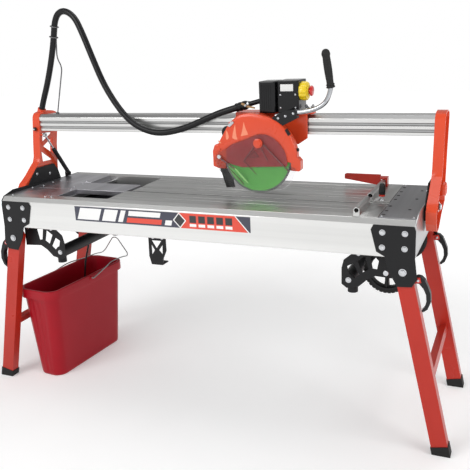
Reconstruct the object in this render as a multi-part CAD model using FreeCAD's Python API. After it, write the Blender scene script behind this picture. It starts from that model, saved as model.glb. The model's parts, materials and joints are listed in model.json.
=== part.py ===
"""Bridge saw for tiles: folding stand, water table, tilting rail bridge and sliding cutting head.

Millimetres. +X runs along the table, +Y away from the operator, +Z up, and the floor is z = 0.
The origin is on the floor below the middle of the table. Each function makes one sub-part or one
group of like sub-parts, and writes it under its own name.
"""
import FreeCAD, Part
import math
import os

os.makedirs("parts", exist_ok=True)

# ---- table ----
TABLE_LENGTH = 1560.0      # side beams, end to end
TABLE_WIDTH = 520.0        # over the two side beams
TABLE_TOP = 781.0          # height of the cutting surface
BEAM_HEIGHT = 118.0
BEAM_DEPTH = 60.0
BEAM_WALL = 3.5
BEAM_CHAMFER = 15.0
END_PLATE_THICK = 4.0
PLANK_THICK = 18.0
SLOT_Y = -60.0             # line of the blade
SLOT_WIDTH = 12.0
SLOT_START = -340.0
FENCE_X = TABLE_LENGTH / 2 - 192.0
TRAY_DEPTH = 52.0
TRAY_WALL = 2.0
JOIST_HEIGHT = 22.0
JOIST_WIDTH = 30.0
TOP_PLATE_THICK = 3.0
DRAIN_X = -602.0           # spout below the tray
DRAIN_Y = 35.0
DRAIN_RADIUS = 4.0

# ---- stand ----
PIVOT_X = TABLE_LENGTH / 2 - 33.0       # leg hinge, from the middle of the table
PIVOT_Z = 618.5
LEG_SPLAY = 12.6           # degrees outwards from the vertical
LEG_WIDTH = 53.0
LEG_DEPTH = 36.0
LEG_WALL = 2.5
LEG_GAP = 1.0              # between a leg and its bracket
CROSSBAR_FROM_PIVOT = 385.0
CROSSBAR_SIZE = 26.0
FOOT_HEIGHT = 24.0
FOOT_WALL = 2.5
PLATE_THICK = 4.0          # brackets, trusses and gussets
BOLT_RADIUS = 8.0
BOLT_HEAD_RADIUS = 8.5
BOLT_HEAD_HEIGHT = 5.0
PIVOT_HEAD_RADIUS = 11.0
RUNNING_GAP = 0.08         # radial clearance of turning shafts
LEVER_DEPTH = 22.0
LEVER_ALONG = 34.0         # down the leg from its hinge
LEVER_OUT = 13.0           # hub centre, out from the leg
LEVER_PIN_RADIUS = 4.0

# ---- wheels and truss brackets ----
WHEEL_X = TABLE_LENGTH / 2 - 92.0
WHEEL_Z = 594.0
WHEEL_RADIUS = 76.0
WHEEL_WIDTH = 34.0
WHEEL_INSET = 15.0         # wheel side from the truss plate
TYRE_THICK = 12.0
AXLE_RADIUS = 9.0
TRUSS_Y = TABLE_WIDTH / 2 - 47.0        # inner face of each truss plate
CROSS_TUBE_X = TABLE_LENGTH / 2 - 212.0
CROSS_TUBE_Z = 560.0
CROSS_TUBE_RADIUS = 23.0
STAND_FOOT_RADIUS = 17.0
STAND_FOOT_BOTTOM = 515.0

# ---- bridge ----
TOWER_X = TABLE_LENGTH / 2 + 11.0       # inner face of each tower
TOWER_DEPTH = 34.0
TOWER_WALL = 4.0
TILT_PIN_RADIUS = 10.0
RAIL_Y0 = 31.0
RAIL_DEPTH = 70.0
RAIL_Z0 = 995.0
RAIL_HEIGHT = 67.0
RAIL_WALL = 4.0
HOSE_RADIUS = 12.0
GLAND_RADIUS = 17.0
GLAND_LENGTH = 24.0
MAST_RADIUS = 2.5
HOSE_ROUTE = [(-802, 70, 1082), (-788, 67, 1114), (-758, 63, 1174), (-726, 61, 1256), (-697, 58, 1346),
              (-676, 56, 1440), (-632, 52, 1466), (-578, 46, 1440), (-544, 40, 1376), (-504, 32, 1284),
              (-460, 24, 1186), (-406, 14, 1108), (-349, 6, 1047), (-288, 2, 1011), (-210, 0, 994),
              (-106, 0, 1014), (-12, 2, 1052), (50, 4, 1076), (104, 6, 1090)]
HOSE_RINGS = ((4, 0.62), (4, 0.2))       # run of the hose, and how far along it
MAST_ROUTE = [(-722, 66, 1063), (-678, 70, 1247), (-699, 72, 1284), (-694, 73.2, 1358), (-682, 72.3, 1408)]
SLEEVE_LENGTH = 46.0       # of the thick end of the hose, before its thin neck
NECK_RADIUS = 9.0

# ---- gas strut ----
STRUT_X = 10.0 - TABLE_LENGTH / 2
STRUT_FOOT = (160.0, 793.0)      # y, z of the lower pin
STRUT_HEAD = (28.0, 979.0)       # y, z of the upper eye
STRUT_TUBE_RADIUS = 9.0
STRUT_TUBE_LENGTH = 140.0
STRUT_ROD_RADIUS = 4.0
STRUT_PIN_RADIUS = 4.0

# ---- cutting head ----
BLADE_X = 207.0
BLADE_Z = 925.0
BLADE_RADIUS = 125.0
BLADE_THICK = 2.6
ARBOR_RADIUS = 12.7
FLANGE_RADIUS = 34.0
HOUSING_RADIUS = 146.0
HOUSING_FRONT = -69.0
HOUSING_BACK = -40.0
HOUSING_WALL = 3.0
CASTING_BACK = -10.0       # the motor bolts on here
HEAD_PIVOT_X = 88.0
HEAD_PIVOT_Z = 1008.0
HEAD_PIN_RADIUS = 12.0
MOTOR_RADIUS = 62.0
MOTOR_LENGTH = 122.0
HANDLE_Y = -50.0
GUARD_FRONT = -76.0
GUARD_THICK = 3.0
GUARD_BOTTOM = 811.0
GUARD_HINGE = (66.0, 927.0)      # x, z
GUARD_PIN_RADIUS = 7.0
SADDLE_X0 = 95.0
SADDLE_X1 = 364.0
SADDLE_THICK = 6.0
LEFT_BOX_X = 198.0
LEFT_BOX_WIDTH = 62.0
RIGHT_BOX_X = 268.0
RIGHT_BOX_WIDTH = 76.0
PAD_GAP = 0.3

# ---- bucket ----
BUCKET_X = -694.0
BUCKET_Y = 11.0
BUCKET_TURN = -5.0
BUCKET_HEIGHT = 388.0
BUCKET_TOP = (176.0, 464.0)      # outside the body under the rim, x by y
BUCKET_BASE = (124.0, 420.0)
BUCKET_WALL = 4.0
BUCKET_RIM = 9.0
BAIL_RADIUS = 2.5
BAIL_REACH = 64.0         # out past the rim
BAIL_RISE = 74.0          # above the rim

HALF_L = TABLE_LENGTH / 2
HALF_W = TABLE_WIDTH / 2
BEAM_INNER = HALF_W - BEAM_DEPTH
BEAM_BOTTOM = TABLE_TOP - BEAM_HEIGHT
END_OUTER = HALF_L + END_PLATE_THICK
BRACKET_OUTER = HALF_W + PLATE_THICK
LEG_FRONT = HALF_W - LEG_GAP
LEG_BACK = LEG_FRONT - LEG_DEPTH
V = FreeCAD.Vector
AXIS_X = V(1, 0, 0)
AXIS_Y = V(0, 1, 0)
AXIS_Z = V(0, 0, 1)


def save(name, *solids):
    """Write one node: a single solid, or a group of separate solids."""
    shape = solids[0] if len(solids) == 1 else Part.makeCompound(list(solids))
    shape.exportStep(f"parts/{name}.step")


def box(x0, x1, y0, y1, z0, z1):
    return Part.makeBox(x1 - x0, y1 - y0, z1 - z0, V(x0, y0, z0))


def rod_x(radius, x0, x1, y, z):
    return Part.makeCylinder(radius, x1 - x0, V(x0, y, z), AXIS_X)


def rod_y(radius, x, y0, y1, z):
    return Part.makeCylinder(radius, y1 - y0, V(x, y0, z), AXIS_Y)


def rod_z(radius, x, y, z0, z1):
    return Part.makeCylinder(radius, z1 - z0, V(x, y, z0), AXIS_Z)


def plate_y(points, y0, y1):
    """A plate whose outline is given in X and Z."""
    wire = Part.makePolygon([V(x, y0, z) for x, z in points + points[:1]])
    return Part.Face(wire).extrude(V(0, y1 - y0, 0))


def plate_x(points, x0, x1):
    """A plate whose outline is given in Y and Z."""
    wire = Part.makePolygon([V(x0, y, z) for y, z in points + points[:1]])
    return Part.Face(wire).extrude(V(x1 - x0, 0, 0))


def mirror_x(shape):
    return shape.mirror(V(0, 0, 0), AXIS_X)


def mirror_y(shape):
    return shape.mirror(V(0, 0, 0), AXIS_Y)


def arc_points(x, z, radius, start, end, steps):
    """Points on a circle in X and Z, angles in degrees from +X towards +Z."""
    turn = math.radians(end - start) / steps
    angles = [math.radians(start) + turn * i for i in range(steps + 1)]
    return [(x + radius * math.cos(a), z + radius * math.sin(a)) for a in angles]


def inset(points, distance):
    """An outline, listed anticlockwise, with each side moved inwards: neighbours meet at new corners."""
    corners = []
    for (ax, az), (bx, bz), (cx, cz) in zip(points[-1:] + points[:-1], points, points[1:] + points[:1]):
        before, after = math.atan2(bz - az, bx - ax), math.atan2(cz - bz, cx - bx)
        half_turn = (after - before) / 2
        reach = distance / math.cos(half_turn)
        inward = before + half_turn + math.pi / 2
        corners.append((bx + reach * math.cos(inward), bz + reach * math.sin(inward)))
    return corners


def round_edges(shape, radius, direction):
    """Fillet the straight edges that run along one direction."""
    edges = []
    for edge in shape.Edges:
        a, b = edge.Vertexes[0].Point, edge.Vertexes[-1].Point
        along = (b - a)
        if along.Length > 1e-6 and abs(along.normalize().dot(direction)) > 0.999:
            edges.append(edge)
    return shape.makeFillet(radius, edges)


def tube(points, radius, bend_share=0.45, report=None):
    """A round bar along straight runs joined by tangent arcs."""
    points = [V(*p) for p in points]
    edges = []
    start = points[0]
    for before, corner, after in zip(points, points[1:], points[2:]):
        u = (before - corner)
        w = (after - corner)
        run = min(u.Length, w.Length) * bend_share
        u.normalize()
        w.normalize()
        half_turn = (math.pi - u.getAngle(w)) / 2
        bend = run / math.tan(half_turn)
        middle = (u + w).normalize()
        centre = corner + middle * (bend / math.cos(half_turn))
        first = corner + u * run
        last = corner + w * run
        if (first - start).Length > 1e-6:
            edges.append(Part.LineSegment(start, first).toShape())
        edges.append(Part.Arc(first, centre - middle * bend, last).toShape())
        start = last
        if report:
            print(report, "bend radius", round(bend, 1))
    edges.append(Part.LineSegment(start, points[-1]).toShape())
    path = Part.Wire(edges)
    ring = Part.Wire(Part.makeCircle(radius, points[0], points[1] - points[0]))
    solid = path.makePipeShell([ring], True, False)
    if report:
        share = solid.Volume / (math.pi * radius * radius * path.Length)
        print(report, "length", round(path.Length, 1), "volume share", round(share, 4))
    return solid


# ---------------------------------------------------------------- table

def make_beams():
    outline = [(-HALF_W, BEAM_BOTTOM), (-BEAM_INNER, BEAM_BOTTOM), (-BEAM_INNER, TABLE_TOP),
               (-HALF_W + BEAM_CHAMFER, TABLE_TOP), (-HALF_W, TABLE_TOP - BEAM_CHAMFER)]
    inner_chamfer = BEAM_CHAMFER - BEAM_WALL * (2 - math.sqrt(2))
    low, high = BEAM_BOTTOM + BEAM_WALL, TABLE_TOP - BEAM_WALL
    near, far = -HALF_W + BEAM_WALL, -BEAM_INNER - BEAM_WALL
    core = [(near, low), (far, low), (far, high), (near + inner_chamfer, high),
            (near, high - inner_chamfer)]
    beam = plate_x(outline, -HALF_L, HALF_L).cut(plate_x(core, -HALF_L - 1, HALF_L + 1))
    save("front_beam", beam)
    save("rear_beam", mirror_y(beam))


def make_end_plates():
    edge = HALF_W - BEAM_CHAMFER
    outline = [(-HALF_W, BEAM_BOTTOM + 5), (HALF_W, BEAM_BOTTOM + 5), (HALF_W, TABLE_TOP - BEAM_CHAMFER),
               (edge, TABLE_TOP), (123, TABLE_TOP), (-116, TABLE_TOP + 12), (-190, TABLE_TOP + 14),
               (-edge, TABLE_TOP), (-HALF_W, TABLE_TOP - BEAM_CHAMFER)]
    plate = plate_x(outline, -END_OUTER, -HALF_L)
    foot_y, foot_z = STRUT_FOOT
    face = STRUT_X - STRUT_TUBE_RADIUS - PAD_GAP
    post = box(-END_OUTER, face, foot_y - 9, foot_y + 9, TABLE_TOP, foot_z + 9)
    pin = rod_x(STRUT_PIN_RADIUS, face - 1, STRUT_X + 9, foot_y, foot_z)
    save("left_end_plate", plate.fuse([post, pin]).removeSplitter())
    save("right_end_plate", mirror_x(plate))


def make_tray():
    top = TABLE_TOP - PLANK_THICK - JOIST_HEIGHT
    bottom = top - TRAY_DEPTH
    outer = box(-HALF_L, HALF_L, -BEAM_INNER, BEAM_INNER, bottom, top)
    inner = box(-HALF_L + TRAY_WALL, HALF_L - TRAY_WALL, -BEAM_INNER + TRAY_WALL,
                BEAM_INNER - TRAY_WALL, bottom + TRAY_WALL, top + 1)
    spout = rod_z(DRAIN_RADIUS + 4, DRAIN_X, DRAIN_Y, bottom - 18, bottom + 1)
    hole = rod_z(DRAIN_RADIUS - 1.5, DRAIN_X, DRAIN_Y, bottom - 19, bottom + TRAY_WALL + 1)
    save("water_tray", outer.cut(inner).fuse(spout).cut(hole))
    return bottom


def plank(x0, x1, y0, y1, grooves=()):
    """An extruded deck plank with narrow grooves along its top."""
    top = TABLE_TOP - 0.5
    solid = box(x0, x1, y0, y1, TABLE_TOP - PLANK_THICK, top)
    for y, width in grooves:
        solid = solid.cut(box(x0 - 1, x1 + 1, y - width / 2, y + width / 2, top - 4, top + 1))
    return solid


def make_deck():
    seam = 1.5
    slot_front = SLOT_Y - SLOT_WIDTH / 2
    slot_back = SLOT_Y + SLOT_WIDTH / 2
    middle = 48.0
    front = plank(SLOT_START, HALF_L, -BEAM_INNER, slot_front, [(-150, 3), (-108, 3)])
    centre = plank(SLOT_START + 20, HALF_L, slot_back, middle - seam, [(10, 6)])
    rear = plank(SLOT_START + 16, HALF_L, middle, BEAM_INNER, [(96, 3), (148, 6)])
    save("deck_planks", front, centre, rear)
    top = TABLE_TOP - PLANK_THICK
    xs = (-HALF_L + JOIST_WIDTH / 2, -HALF_L + 208, SLOT_START + 10, 20, 330, FENCE_X + 22,
          HALF_L - JOIST_WIDTH / 2)
    joists = [box(x - JOIST_WIDTH / 2, x + JOIST_WIDTH / 2, -BEAM_INNER, BEAM_INNER,
                  top - JOIST_HEIGHT, top) for x in xs]
    save("deck_joists", *joists)
    front_edge = SLOT_Y - 20
    near_end, far_end = -HALF_L + 217, -HALF_L + 196
    near = box(-HALF_L, near_end, -BEAM_INNER, front_edge - seam, top, TABLE_TOP)
    near = near.cut(box(-HALF_L - 1, near_end - TOP_PLATE_THICK, -BEAM_INNER + TOP_PLATE_THICK,
                        front_edge - seam - TOP_PLATE_THICK, top - 1, TABLE_TOP - TOP_PLATE_THICK))
    far = box(-HALF_L, far_end, middle + seam, BEAM_INNER, top, TABLE_TOP)
    far = far.cut(box(-HALF_L - 1, far_end - TOP_PLATE_THICK, middle + seam + TOP_PLATE_THICK,
                      BEAM_INNER - TOP_PLATE_THICK, top - 1, TABLE_TOP - TOP_PLATE_THICK))
    save("left_deck", near, far, box(-HALF_L, SLOT_START, front_edge, middle, top, TABLE_TOP))
    edge = HALF_W - BEAM_CHAMFER - 2
    save("right_cover_plate", box(FENCE_X + 78, HALF_L - 1, -edge, edge, TABLE_TOP,
                                  TABLE_TOP + TOP_PLATE_THICK))


def make_fence():
    """A rip fence across the table, split where the blade passes."""
    base_width, base, rib_width, rib = 76.0, TOP_PLATE_THICK, 20.0, 30.0
    edge = HALF_W - BEAM_CHAMFER - 2
    outline = [(FENCE_X, TABLE_TOP), (FENCE_X + base_width, TABLE_TOP),
               (FENCE_X + base_width, TABLE_TOP + base), (FENCE_X + rib_width, TABLE_TOP + base)]
    crown = arc_points(FENCE_X + rib_width / 2, TABLE_TOP + rib - rib_width / 2, rib_width / 2, 0, 180, 10)
    outline += crown
    bore = rod_y(rib_width / 2 - 3, FENCE_X + rib_width / 2, -edge - 1, edge + 1,
                 TABLE_TOP + rib - rib_width / 2)
    gap = 24.0
    save("fence", plate_y(outline, -edge, SLOT_Y - gap).cut(bore),
         plate_y(outline, SLOT_Y + gap, edge).cut(bore))
    knob_x, knob_y = FENCE_X + 45, SLOT_Y + gap + 24
    foot = TABLE_TOP + base
    knob = rod_z(6, knob_x, knob_y, foot, foot + 12)
    grip = Part.makeCone(11, 8, 44, V(knob_x, knob_y, foot + 12))
    save("fence_clamp_knob", knob.fuse(grip))
    arm_y = 196.0
    x1 = FENCE_X - PAD_GAP
    blade = plate_y([(x1 - 134, TABLE_TOP + 27), (x1, TABLE_TOP + 6), (x1, TABLE_TOP + 46),
                     (x1 - 128, TABLE_TOP + 47), (x1 - 134, TABLE_TOP + 44)], arm_y, arm_y + 10)
    top = TABLE_TOP + rib + PAD_GAP
    saddle = box(x1 - 1, FENCE_X + rib_width + 6, arm_y - 8, arm_y + 22, top, top + 8)
    cheek = box(FENCE_X + rib_width + PAD_GAP, FENCE_X + rib_width + 6, arm_y - 8, arm_y + 22,
                TABLE_TOP + base + PAD_GAP, top + 1)
    save("side_stop", blade.fuse(saddle).fuse(cheek))


# ---------------------------------------------------------------- stand

def both_ends(shape):
    """The same piece front left, front right, rear left and rear right."""
    front = [shape, mirror_x(shape)]
    return front + [mirror_y(s) for s in front]


def from_end(points):
    """An outline at the right end, from distances in from the end of the table."""
    return [(HALF_L - inwards, z) for inwards, z in points]


def make_leg_brackets():
    outline = [(125, 765), (2, 765), (-3, 750), (-3, 664), (-11, 599), (4, 573), (49, 570),
               (78, 622), (89, 665), (115, 679), (133, 749)]
    plate = plate_y(from_end(outline), -BRACKET_OUTER, -HALF_W)
    plate = plate.cut(rod_y(BOLT_RADIUS + RUNNING_GAP, PIVOT_X, -BRACKET_OUTER - 1, 0, PIVOT_Z))
    save("leg_brackets", *both_ends(plate))
    head_back = -BRACKET_OUTER
    heads = [rod_y(BOLT_HEAD_RADIUS, x, head_back - BOLT_HEAD_HEIGHT, head_back, z)
             for x in (HALF_L - 97, HALF_L - 29) for z in (742, 694)]
    pivot = rod_y(PIVOT_HEAD_RADIUS, PIVOT_X, head_back - BOLT_HEAD_HEIGHT - 2, head_back, PIVOT_Z)
    pivot = pivot.fuse(rod_y(BOLT_RADIUS, PIVOT_X, head_back - 1, -LEG_BACK + 4, PIVOT_Z))
    bolts = []
    for one in heads + [pivot]:
        bolts += both_ends(one)
    save("bracket_bolts", *bolts)


def leg_point(side, along, across):
    """A point of a leg: along it down from the hinge, across it towards the outside."""
    splay = math.radians(LEG_SPLAY)
    x = PIVOT_X + along * math.sin(splay) + across * math.cos(splay)
    z = PIVOT_Z - along * math.cos(splay) + across * math.sin(splay)
    return side * x, z


def leg_length():
    """From the hinge to the floor, at the leg's lower corner."""
    splay = math.radians(LEG_SPLAY)
    return (PIVOT_Z - LEG_WIDTH / 2 * math.sin(splay)) / math.cos(splay)


def make_legs():
    """Two tubes welded to a crossbar at each end, in rubber feet."""
    half = LEG_WIDTH / 2
    long = leg_length() - FOOT_WALL
    bar = CROSSBAR_SIZE / 2
    for side, name in ((-1, "left"), (1, "right")):
        corners = [leg_point(side, long, -half), leg_point(side, long, half), leg_point(side, 0, half),
                   leg_point(side, 0, -half)]
        shaft = plate_y(corners, -LEG_FRONT, -LEG_BACK)
        shaft = shaft.fuse(rod_y(half, side * PIVOT_X, -LEG_FRONT, -LEG_BACK, PIVOT_Z))
        inner = [leg_point(side, long + 1, -half + LEG_WALL), leg_point(side, long + 1, half - LEG_WALL),
                 leg_point(side, half, half - LEG_WALL), leg_point(side, half, -half + LEG_WALL)]
        shaft = shaft.cut(plate_y(inner, -LEG_FRONT + LEG_WALL, -LEG_BACK - LEG_WALL))
        shaft = shaft.cut(rod_y(BOLT_RADIUS + RUNNING_GAP, side * PIVOT_X, -LEG_FRONT - 1,
                                -LEG_BACK + 1, PIVOT_Z))
        cross = plate_y([leg_point(side, CROSSBAR_FROM_PIVOT + a, b)
                         for a, b in ((-bar, -bar), (-bar, bar), (bar, bar), (bar, -bar))],
                        -LEG_BACK, LEG_BACK)
        shaft = shaft.fuse(lever_clevis(side))
        save(f"{name}_legs", shaft.fuse([mirror_y(shaft), cross]).removeSplitter())
        foot = [leg_point(side, long + FOOT_HEIGHT, half + FOOT_WALL),
                leg_point(side, long + FOOT_HEIGHT, -half - FOOT_WALL),
                leg_point(side, long - FOOT_HEIGHT, -half - FOOT_WALL),
                leg_point(side, long - FOOT_HEIGHT, half + FOOT_WALL)]
        cap = plate_y(foot, -LEG_FRONT - FOOT_WALL, -LEG_BACK + FOOT_WALL)
        cap = cap.cut(box(-2000, 2000, -HALF_W * 2, HALF_W * 2, -100, 0))
        socket = plate_y([leg_point(side, long, half), leg_point(side, long, -half),
                          leg_point(side, 0, -half), leg_point(side, 0, half)], -LEG_FRONT, -LEG_BACK)
        cap = cap.cut(socket)
        save(f"{name}_feet", cap, mirror_y(cap))


def lever_hub(side):
    """Centre of a cam lever, out from the leg's outer face."""
    return leg_point(side, LEVER_ALONG, LEG_WIDTH / 2 + LEVER_OUT)


def lever_clevis(side):
    """Two ears and a pin on the leg's outer face, which hold a cam lever."""
    y0 = -LEG_FRONT + (LEG_DEPTH - LEVER_DEPTH) / 2
    y1 = y0 + LEVER_DEPTH
    x, z = lever_hub(side)
    outline = [leg_point(side, LEVER_ALONG + a, LEG_WIDTH / 2 + b)
               for a, b in ((-9, -1), (-9, LEVER_OUT + 8), (9, LEVER_OUT + 8), (9, -1))]
    ears = [plate_y(outline, ya, yb) for ya, yb in ((y0 - 3, y0 - PAD_GAP), (y1 + PAD_GAP, y1 + 3))]
    return ears[0].fuse([ears[1], rod_y(LEVER_PIN_RADIUS, x, y0 - 3, y1 + 3, z)])


def make_levers():
    """A curved cam lever on the outer edge of each leg, below its bracket."""
    y0 = -LEG_FRONT + (LEG_DEPTH - LEVER_DEPTH) / 2
    y1 = y0 + LEVER_DEPTH
    outer = [(-10, 10), (4, 20), (22, 24), (48, 28), (76, 24), (98, 10), (106, -6), (100, -9)]
    inner = [(90, 2), (72, 11), (50, 14), (30, 10), (12, 0)]
    for side, end in ((-1, "left"), (1, "right")):
        x, z = lever_hub(side)
        curve = plate_y([leg_point(side, LEVER_ALONG + a, LEG_WIDTH / 2 + LEVER_OUT + b)
                         for a, b in outer + inner], y0, y1)
        lever = rod_y(LEVER_OUT - 1, x, y0, y1, z).fuse(curve)
        lever = lever.cut(rod_y(LEVER_PIN_RADIUS + RUNNING_GAP, x, y0 - 1, y1 + 1, z))
        save(f"front_{end}_lever", lever)
        save(f"rear_{end}_lever", mirror_y(lever))


def make_trusses():
    outline = [(53, BEAM_BOTTOM), (186, BEAM_BOTTOM), (228, 628), (235, 600), (235, 545), (218, 532),
               (178, 541), (152, 566), (125, 582), (53, 578)]
    windows = [[(112, 648), (142, 648), (134, 606), (120, 604)],
               [(158, 646), (184, 628), (166, 590), (147, 602)],
               [(197, 618), (217, 607), (210, 582), (192, 568), (176, 582)]]
    plate = plate_y(from_end(outline), -TRUSS_Y - PLATE_THICK, -TRUSS_Y)
    for window in windows:
        plate = plate.cut(plate_y(from_end(window), -HALF_W, 0))
    right = plate.cut(rod_y(AXLE_RADIUS + RUNNING_GAP, WHEEL_X, -HALF_W, 0, WHEEL_Z))
    left = mirror_x(plate)
    save("truss_brackets", left, mirror_y(left), right, mirror_y(right))
    foot = rod_z(STAND_FOOT_RADIUS, CROSS_TUBE_X + 10, -TRUSS_Y + 1 + STAND_FOOT_RADIUS,
                 STAND_FOOT_BOTTOM, CROSS_TUBE_Z)
    cross = rod_y(CROSS_TUBE_RADIUS, CROSS_TUBE_X, -TRUSS_Y, TRUSS_Y, CROSS_TUBE_Z)
    cross = cross.fuse([foot, mirror_y(foot)])
    cross = cross.cut(rod_y(CROSS_TUBE_RADIUS - 3, CROSS_TUBE_X, -TRUSS_Y - 1, TRUSS_Y + 1, CROSS_TUBE_Z))
    save("cross_tubes", cross, mirror_x(cross))
    axle = rod_y(AXLE_RADIUS, WHEEL_X, -TRUSS_Y - PLATE_THICK, TRUSS_Y + PLATE_THICK, WHEEL_Z)
    save("wheel_axle", axle)


def make_wheels():
    y0 = -TRUSS_Y + WHEEL_INSET
    y1 = y0 + WHEEL_WIDTH
    rim_radius = WHEEL_RADIUS - TYRE_THICK
    rim = rod_y(rim_radius, WHEEL_X, y0, y1, WHEEL_Z).cut(rod_y(rim_radius - 8, WHEEL_X, y0 - 1, y1 + 1, WHEEL_Z))
    hub = rod_y(20, WHEEL_X, y0, y1, WHEEL_Z)
    wheel = rim.fuse(hub)
    for spoke in range(5):
        bar = box(10, rim_radius - 3, y0 + 8, y1 - 8, -7, 7)
        bar.rotate(V(0, 0, 0), AXIS_Y, spoke * 72 + 20)
        bar.translate(V(WHEEL_X, 0, WHEEL_Z))
        wheel = wheel.fuse(bar)
    wheel = wheel.cut(rod_y(AXLE_RADIUS + RUNNING_GAP, WHEEL_X, y0 - 1, y1 + 1, WHEEL_Z))
    tyre = rod_y(WHEEL_RADIUS, WHEEL_X, y0, y1, WHEEL_Z).cut(rod_y(rim_radius, WHEEL_X, y0 - 1, y1 + 1, WHEEL_Z))
    for name, turn in (("front", lambda s: s), ("rear", mirror_y)):
        save(f"{name}_wheel", turn(wheel), turn(tyre))


def make_leg_catch():
    """A latticed bracket under the front beam that the folded left leg rests beside."""
    outline = [(-168, BEAM_BOTTOM), (-98, BEAM_BOTTOM), (-98, 604), (-112, 574), (-116, 548), (-162, 548),
               (-170, 580)]
    plate = plate_y(outline, -TRUSS_Y - PLATE_THICK, -TRUSS_Y)
    plate = plate.cut(plate_y([(-156, 640), (-116, 640), (-138, 610)], -HALF_W, 0))
    plate = plate.cut(plate_y([(-158, 626), (-145, 604), (-158, 584)], -HALF_W, 0))
    plate = plate.cut(plate_y([(-112, 626), (-128, 604), (-114, 588)], -HALF_W, 0))
    lip = box(-162, -116, -TRUSS_Y - PLATE_THICK, -TRUSS_Y + 40, 548, 552)
    save("leg_catch", plate.fuse(lip))


# ---------------------------------------------------------------- bridge

def make_towers():
    """C-section side arms of the bridge, with a lattice web on the inside and a foot at the tilt pin."""
    top = RAIL_Z0 + RAIL_HEIGHT + 12
    front, back = RAIL_Y0 - 1, RAIL_Y0 + RAIL_DEPTH + 51
    crown = [(back, top - 34), (back + 1, top - 22), (back - 6, top - 12), (back - 24, top - 5), (95, top),
             (front + 32, top - 3), (front + 12, top - 8), (front + 2, top - 20)]
    knee = [(front, top - 28), (23, 994), (15, 946), (8, 890), (-2, 868), (-20, 855), (-60, 822), (-84, 806),
            (-100, 797)]
    foot = [(-116, 775), (-112, 735), (-88, 706), (-60, 697), (-30, 704), (30, 735)]
    spine = [(118, 760), (115, 812), (117, 841), (124, 894), (128, 929), (139, 978)]
    outline = spine + crown + knee + foot
    windows = [[(40, 985), (104, 980), (34, 948)], [(106, 962), (98, 888), (36, 930)],
               [(20, 911), (84, 866), (22, 868)]]
    outer_face = -TOWER_X - TOWER_DEPTH
    tower = plate_x(outline, outer_face, -TOWER_X)
    tower = tower.cut(plate_x(inset(outline, TOWER_WALL), outer_face - 1, -TOWER_X - TOWER_WALL))
    tower = tower.fuse(rod_x(18, outer_face, -TOWER_X, SLOT_Y, TABLE_TOP))
    for window in windows:
        tower = tower.cut(plate_x(window, -TOWER_X - TOWER_WALL - 1, -TOWER_X + 1))
    tower = tower.cut(rod_x(TILT_PIN_RADIUS + RUNNING_GAP, outer_face - 1, -TOWER_X + 1, SLOT_Y, TABLE_TOP))
    stud = rod_x(STRUT_PIN_RADIUS, -TOWER_X, STRUT_X - 5.5, *STRUT_HEAD)
    start = V(*HOSE_ROUTE[0])
    way = (V(*HOSE_ROUTE[1]) - start).normalize()
    gland = Part.makeCylinder(GLAND_RADIUS, GLAND_LENGTH, start - way * GLAND_LENGTH, way)
    save("left_tower", tower.fuse([stud, gland]))
    save("right_tower", mirror_x(tower))
    pin = rod_x(TILT_PIN_RADIUS, outer_face - 3, -END_OUTER, SLOT_Y, TABLE_TOP)
    gusset = plate_x([(-92, 740), (-92, 789), (-69, 813), (-30, 850), (82, 850), (106, 821), (120, 784),
                      (120, 740)], -END_OUTER - PLATE_THICK, -END_OUTER)
    gusset = gusset.cut(rod_x(TILT_PIN_RADIUS + RUNNING_GAP, -TOWER_X, -HALF_L, SLOT_Y, TABLE_TOP))
    save("tilt_hinges", gusset, mirror_x(gusset), pin, mirror_x(pin))
    knob_z, knob_y = 823.0, 20.0
    knob_x = TOWER_X + TOWER_WALL
    disc_x = TOWER_X + TOWER_DEPTH - 12
    knob = rod_x(8, knob_x, disc_x, knob_y, knob_z)
    save("tilt_knob", knob.fuse(rod_x(24, disc_x, disc_x + 26, knob_y, knob_z)))


def make_rail():
    y1, z1 = RAIL_Y0 + RAIL_DEPTH, RAIL_Z0 + RAIL_HEIGHT
    chamfer = 12.0
    outline = [(RAIL_Y0, RAIL_Z0), (y1, RAIL_Z0), (y1, z1), (RAIL_Y0 + chamfer, z1), (RAIL_Y0, z1 - chamfer)]
    low, high = RAIL_Z0 + RAIL_WALL, z1 - RAIL_WALL
    near, far = RAIL_Y0 + RAIL_WALL + 3, y1 - RAIL_WALL
    core = [(near, low), (far, low), (far, high), (near + chamfer, high), (near, high - chamfer)]
    rail = plate_x(outline, -TOWER_X, TOWER_X).cut(plate_x(core, -TOWER_X - 1, TOWER_X + 1))
    for z in (1014, 1030):
        rail = rail.cut(box(-TOWER_X - 1, TOWER_X + 1, RAIL_Y0 - 1, RAIL_Y0 + 3, z - 4, z + 4))
    save("rail", rail)


def make_hose():
    """The hose to the head, the spring wire that carries it, and its end sleeve on the saddle."""
    save("power_hose", tube(HOSE_ROUTE, HOSE_RADIUS, report="power_hose"))
    end = V(*HOSE_ROUTE[-1])
    way = (end - V(*HOSE_ROUTE[-2])).normalize()
    sleeve = Part.makeCylinder(HOSE_RADIUS + 4, SLEEVE_LENGTH, end, way)
    sleeve = sleeve.fuse(Part.makeCylinder(NECK_RADIUS, 140, end, way))
    save("hose_sleeve", sleeve.cut(box(LEFT_BOX_X, LEFT_BOX_X + 200, -100, 100, 1000, 1200)))
    wire = tube(MAST_ROUTE, MAST_RADIUS)
    rail_top = RAIL_Z0 + RAIL_HEIGHT
    pieces = [rod_z(7, MAST_ROUTE[0][0], MAST_ROUTE[0][1], rail_top, rail_top + 6)]
    for run, share in HOSE_RINGS:
        start, stop = V(*HOSE_ROUTE[run]), V(*HOSE_ROUTE[run + 1])
        centre = start + (stop - start) * share
        pieces.append(Part.makeTorus(HOSE_RADIUS + MAST_RADIUS + 1, MAST_RADIUS, centre, stop - start))
    save("hose_mast", wire.fuse(pieces))


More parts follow.
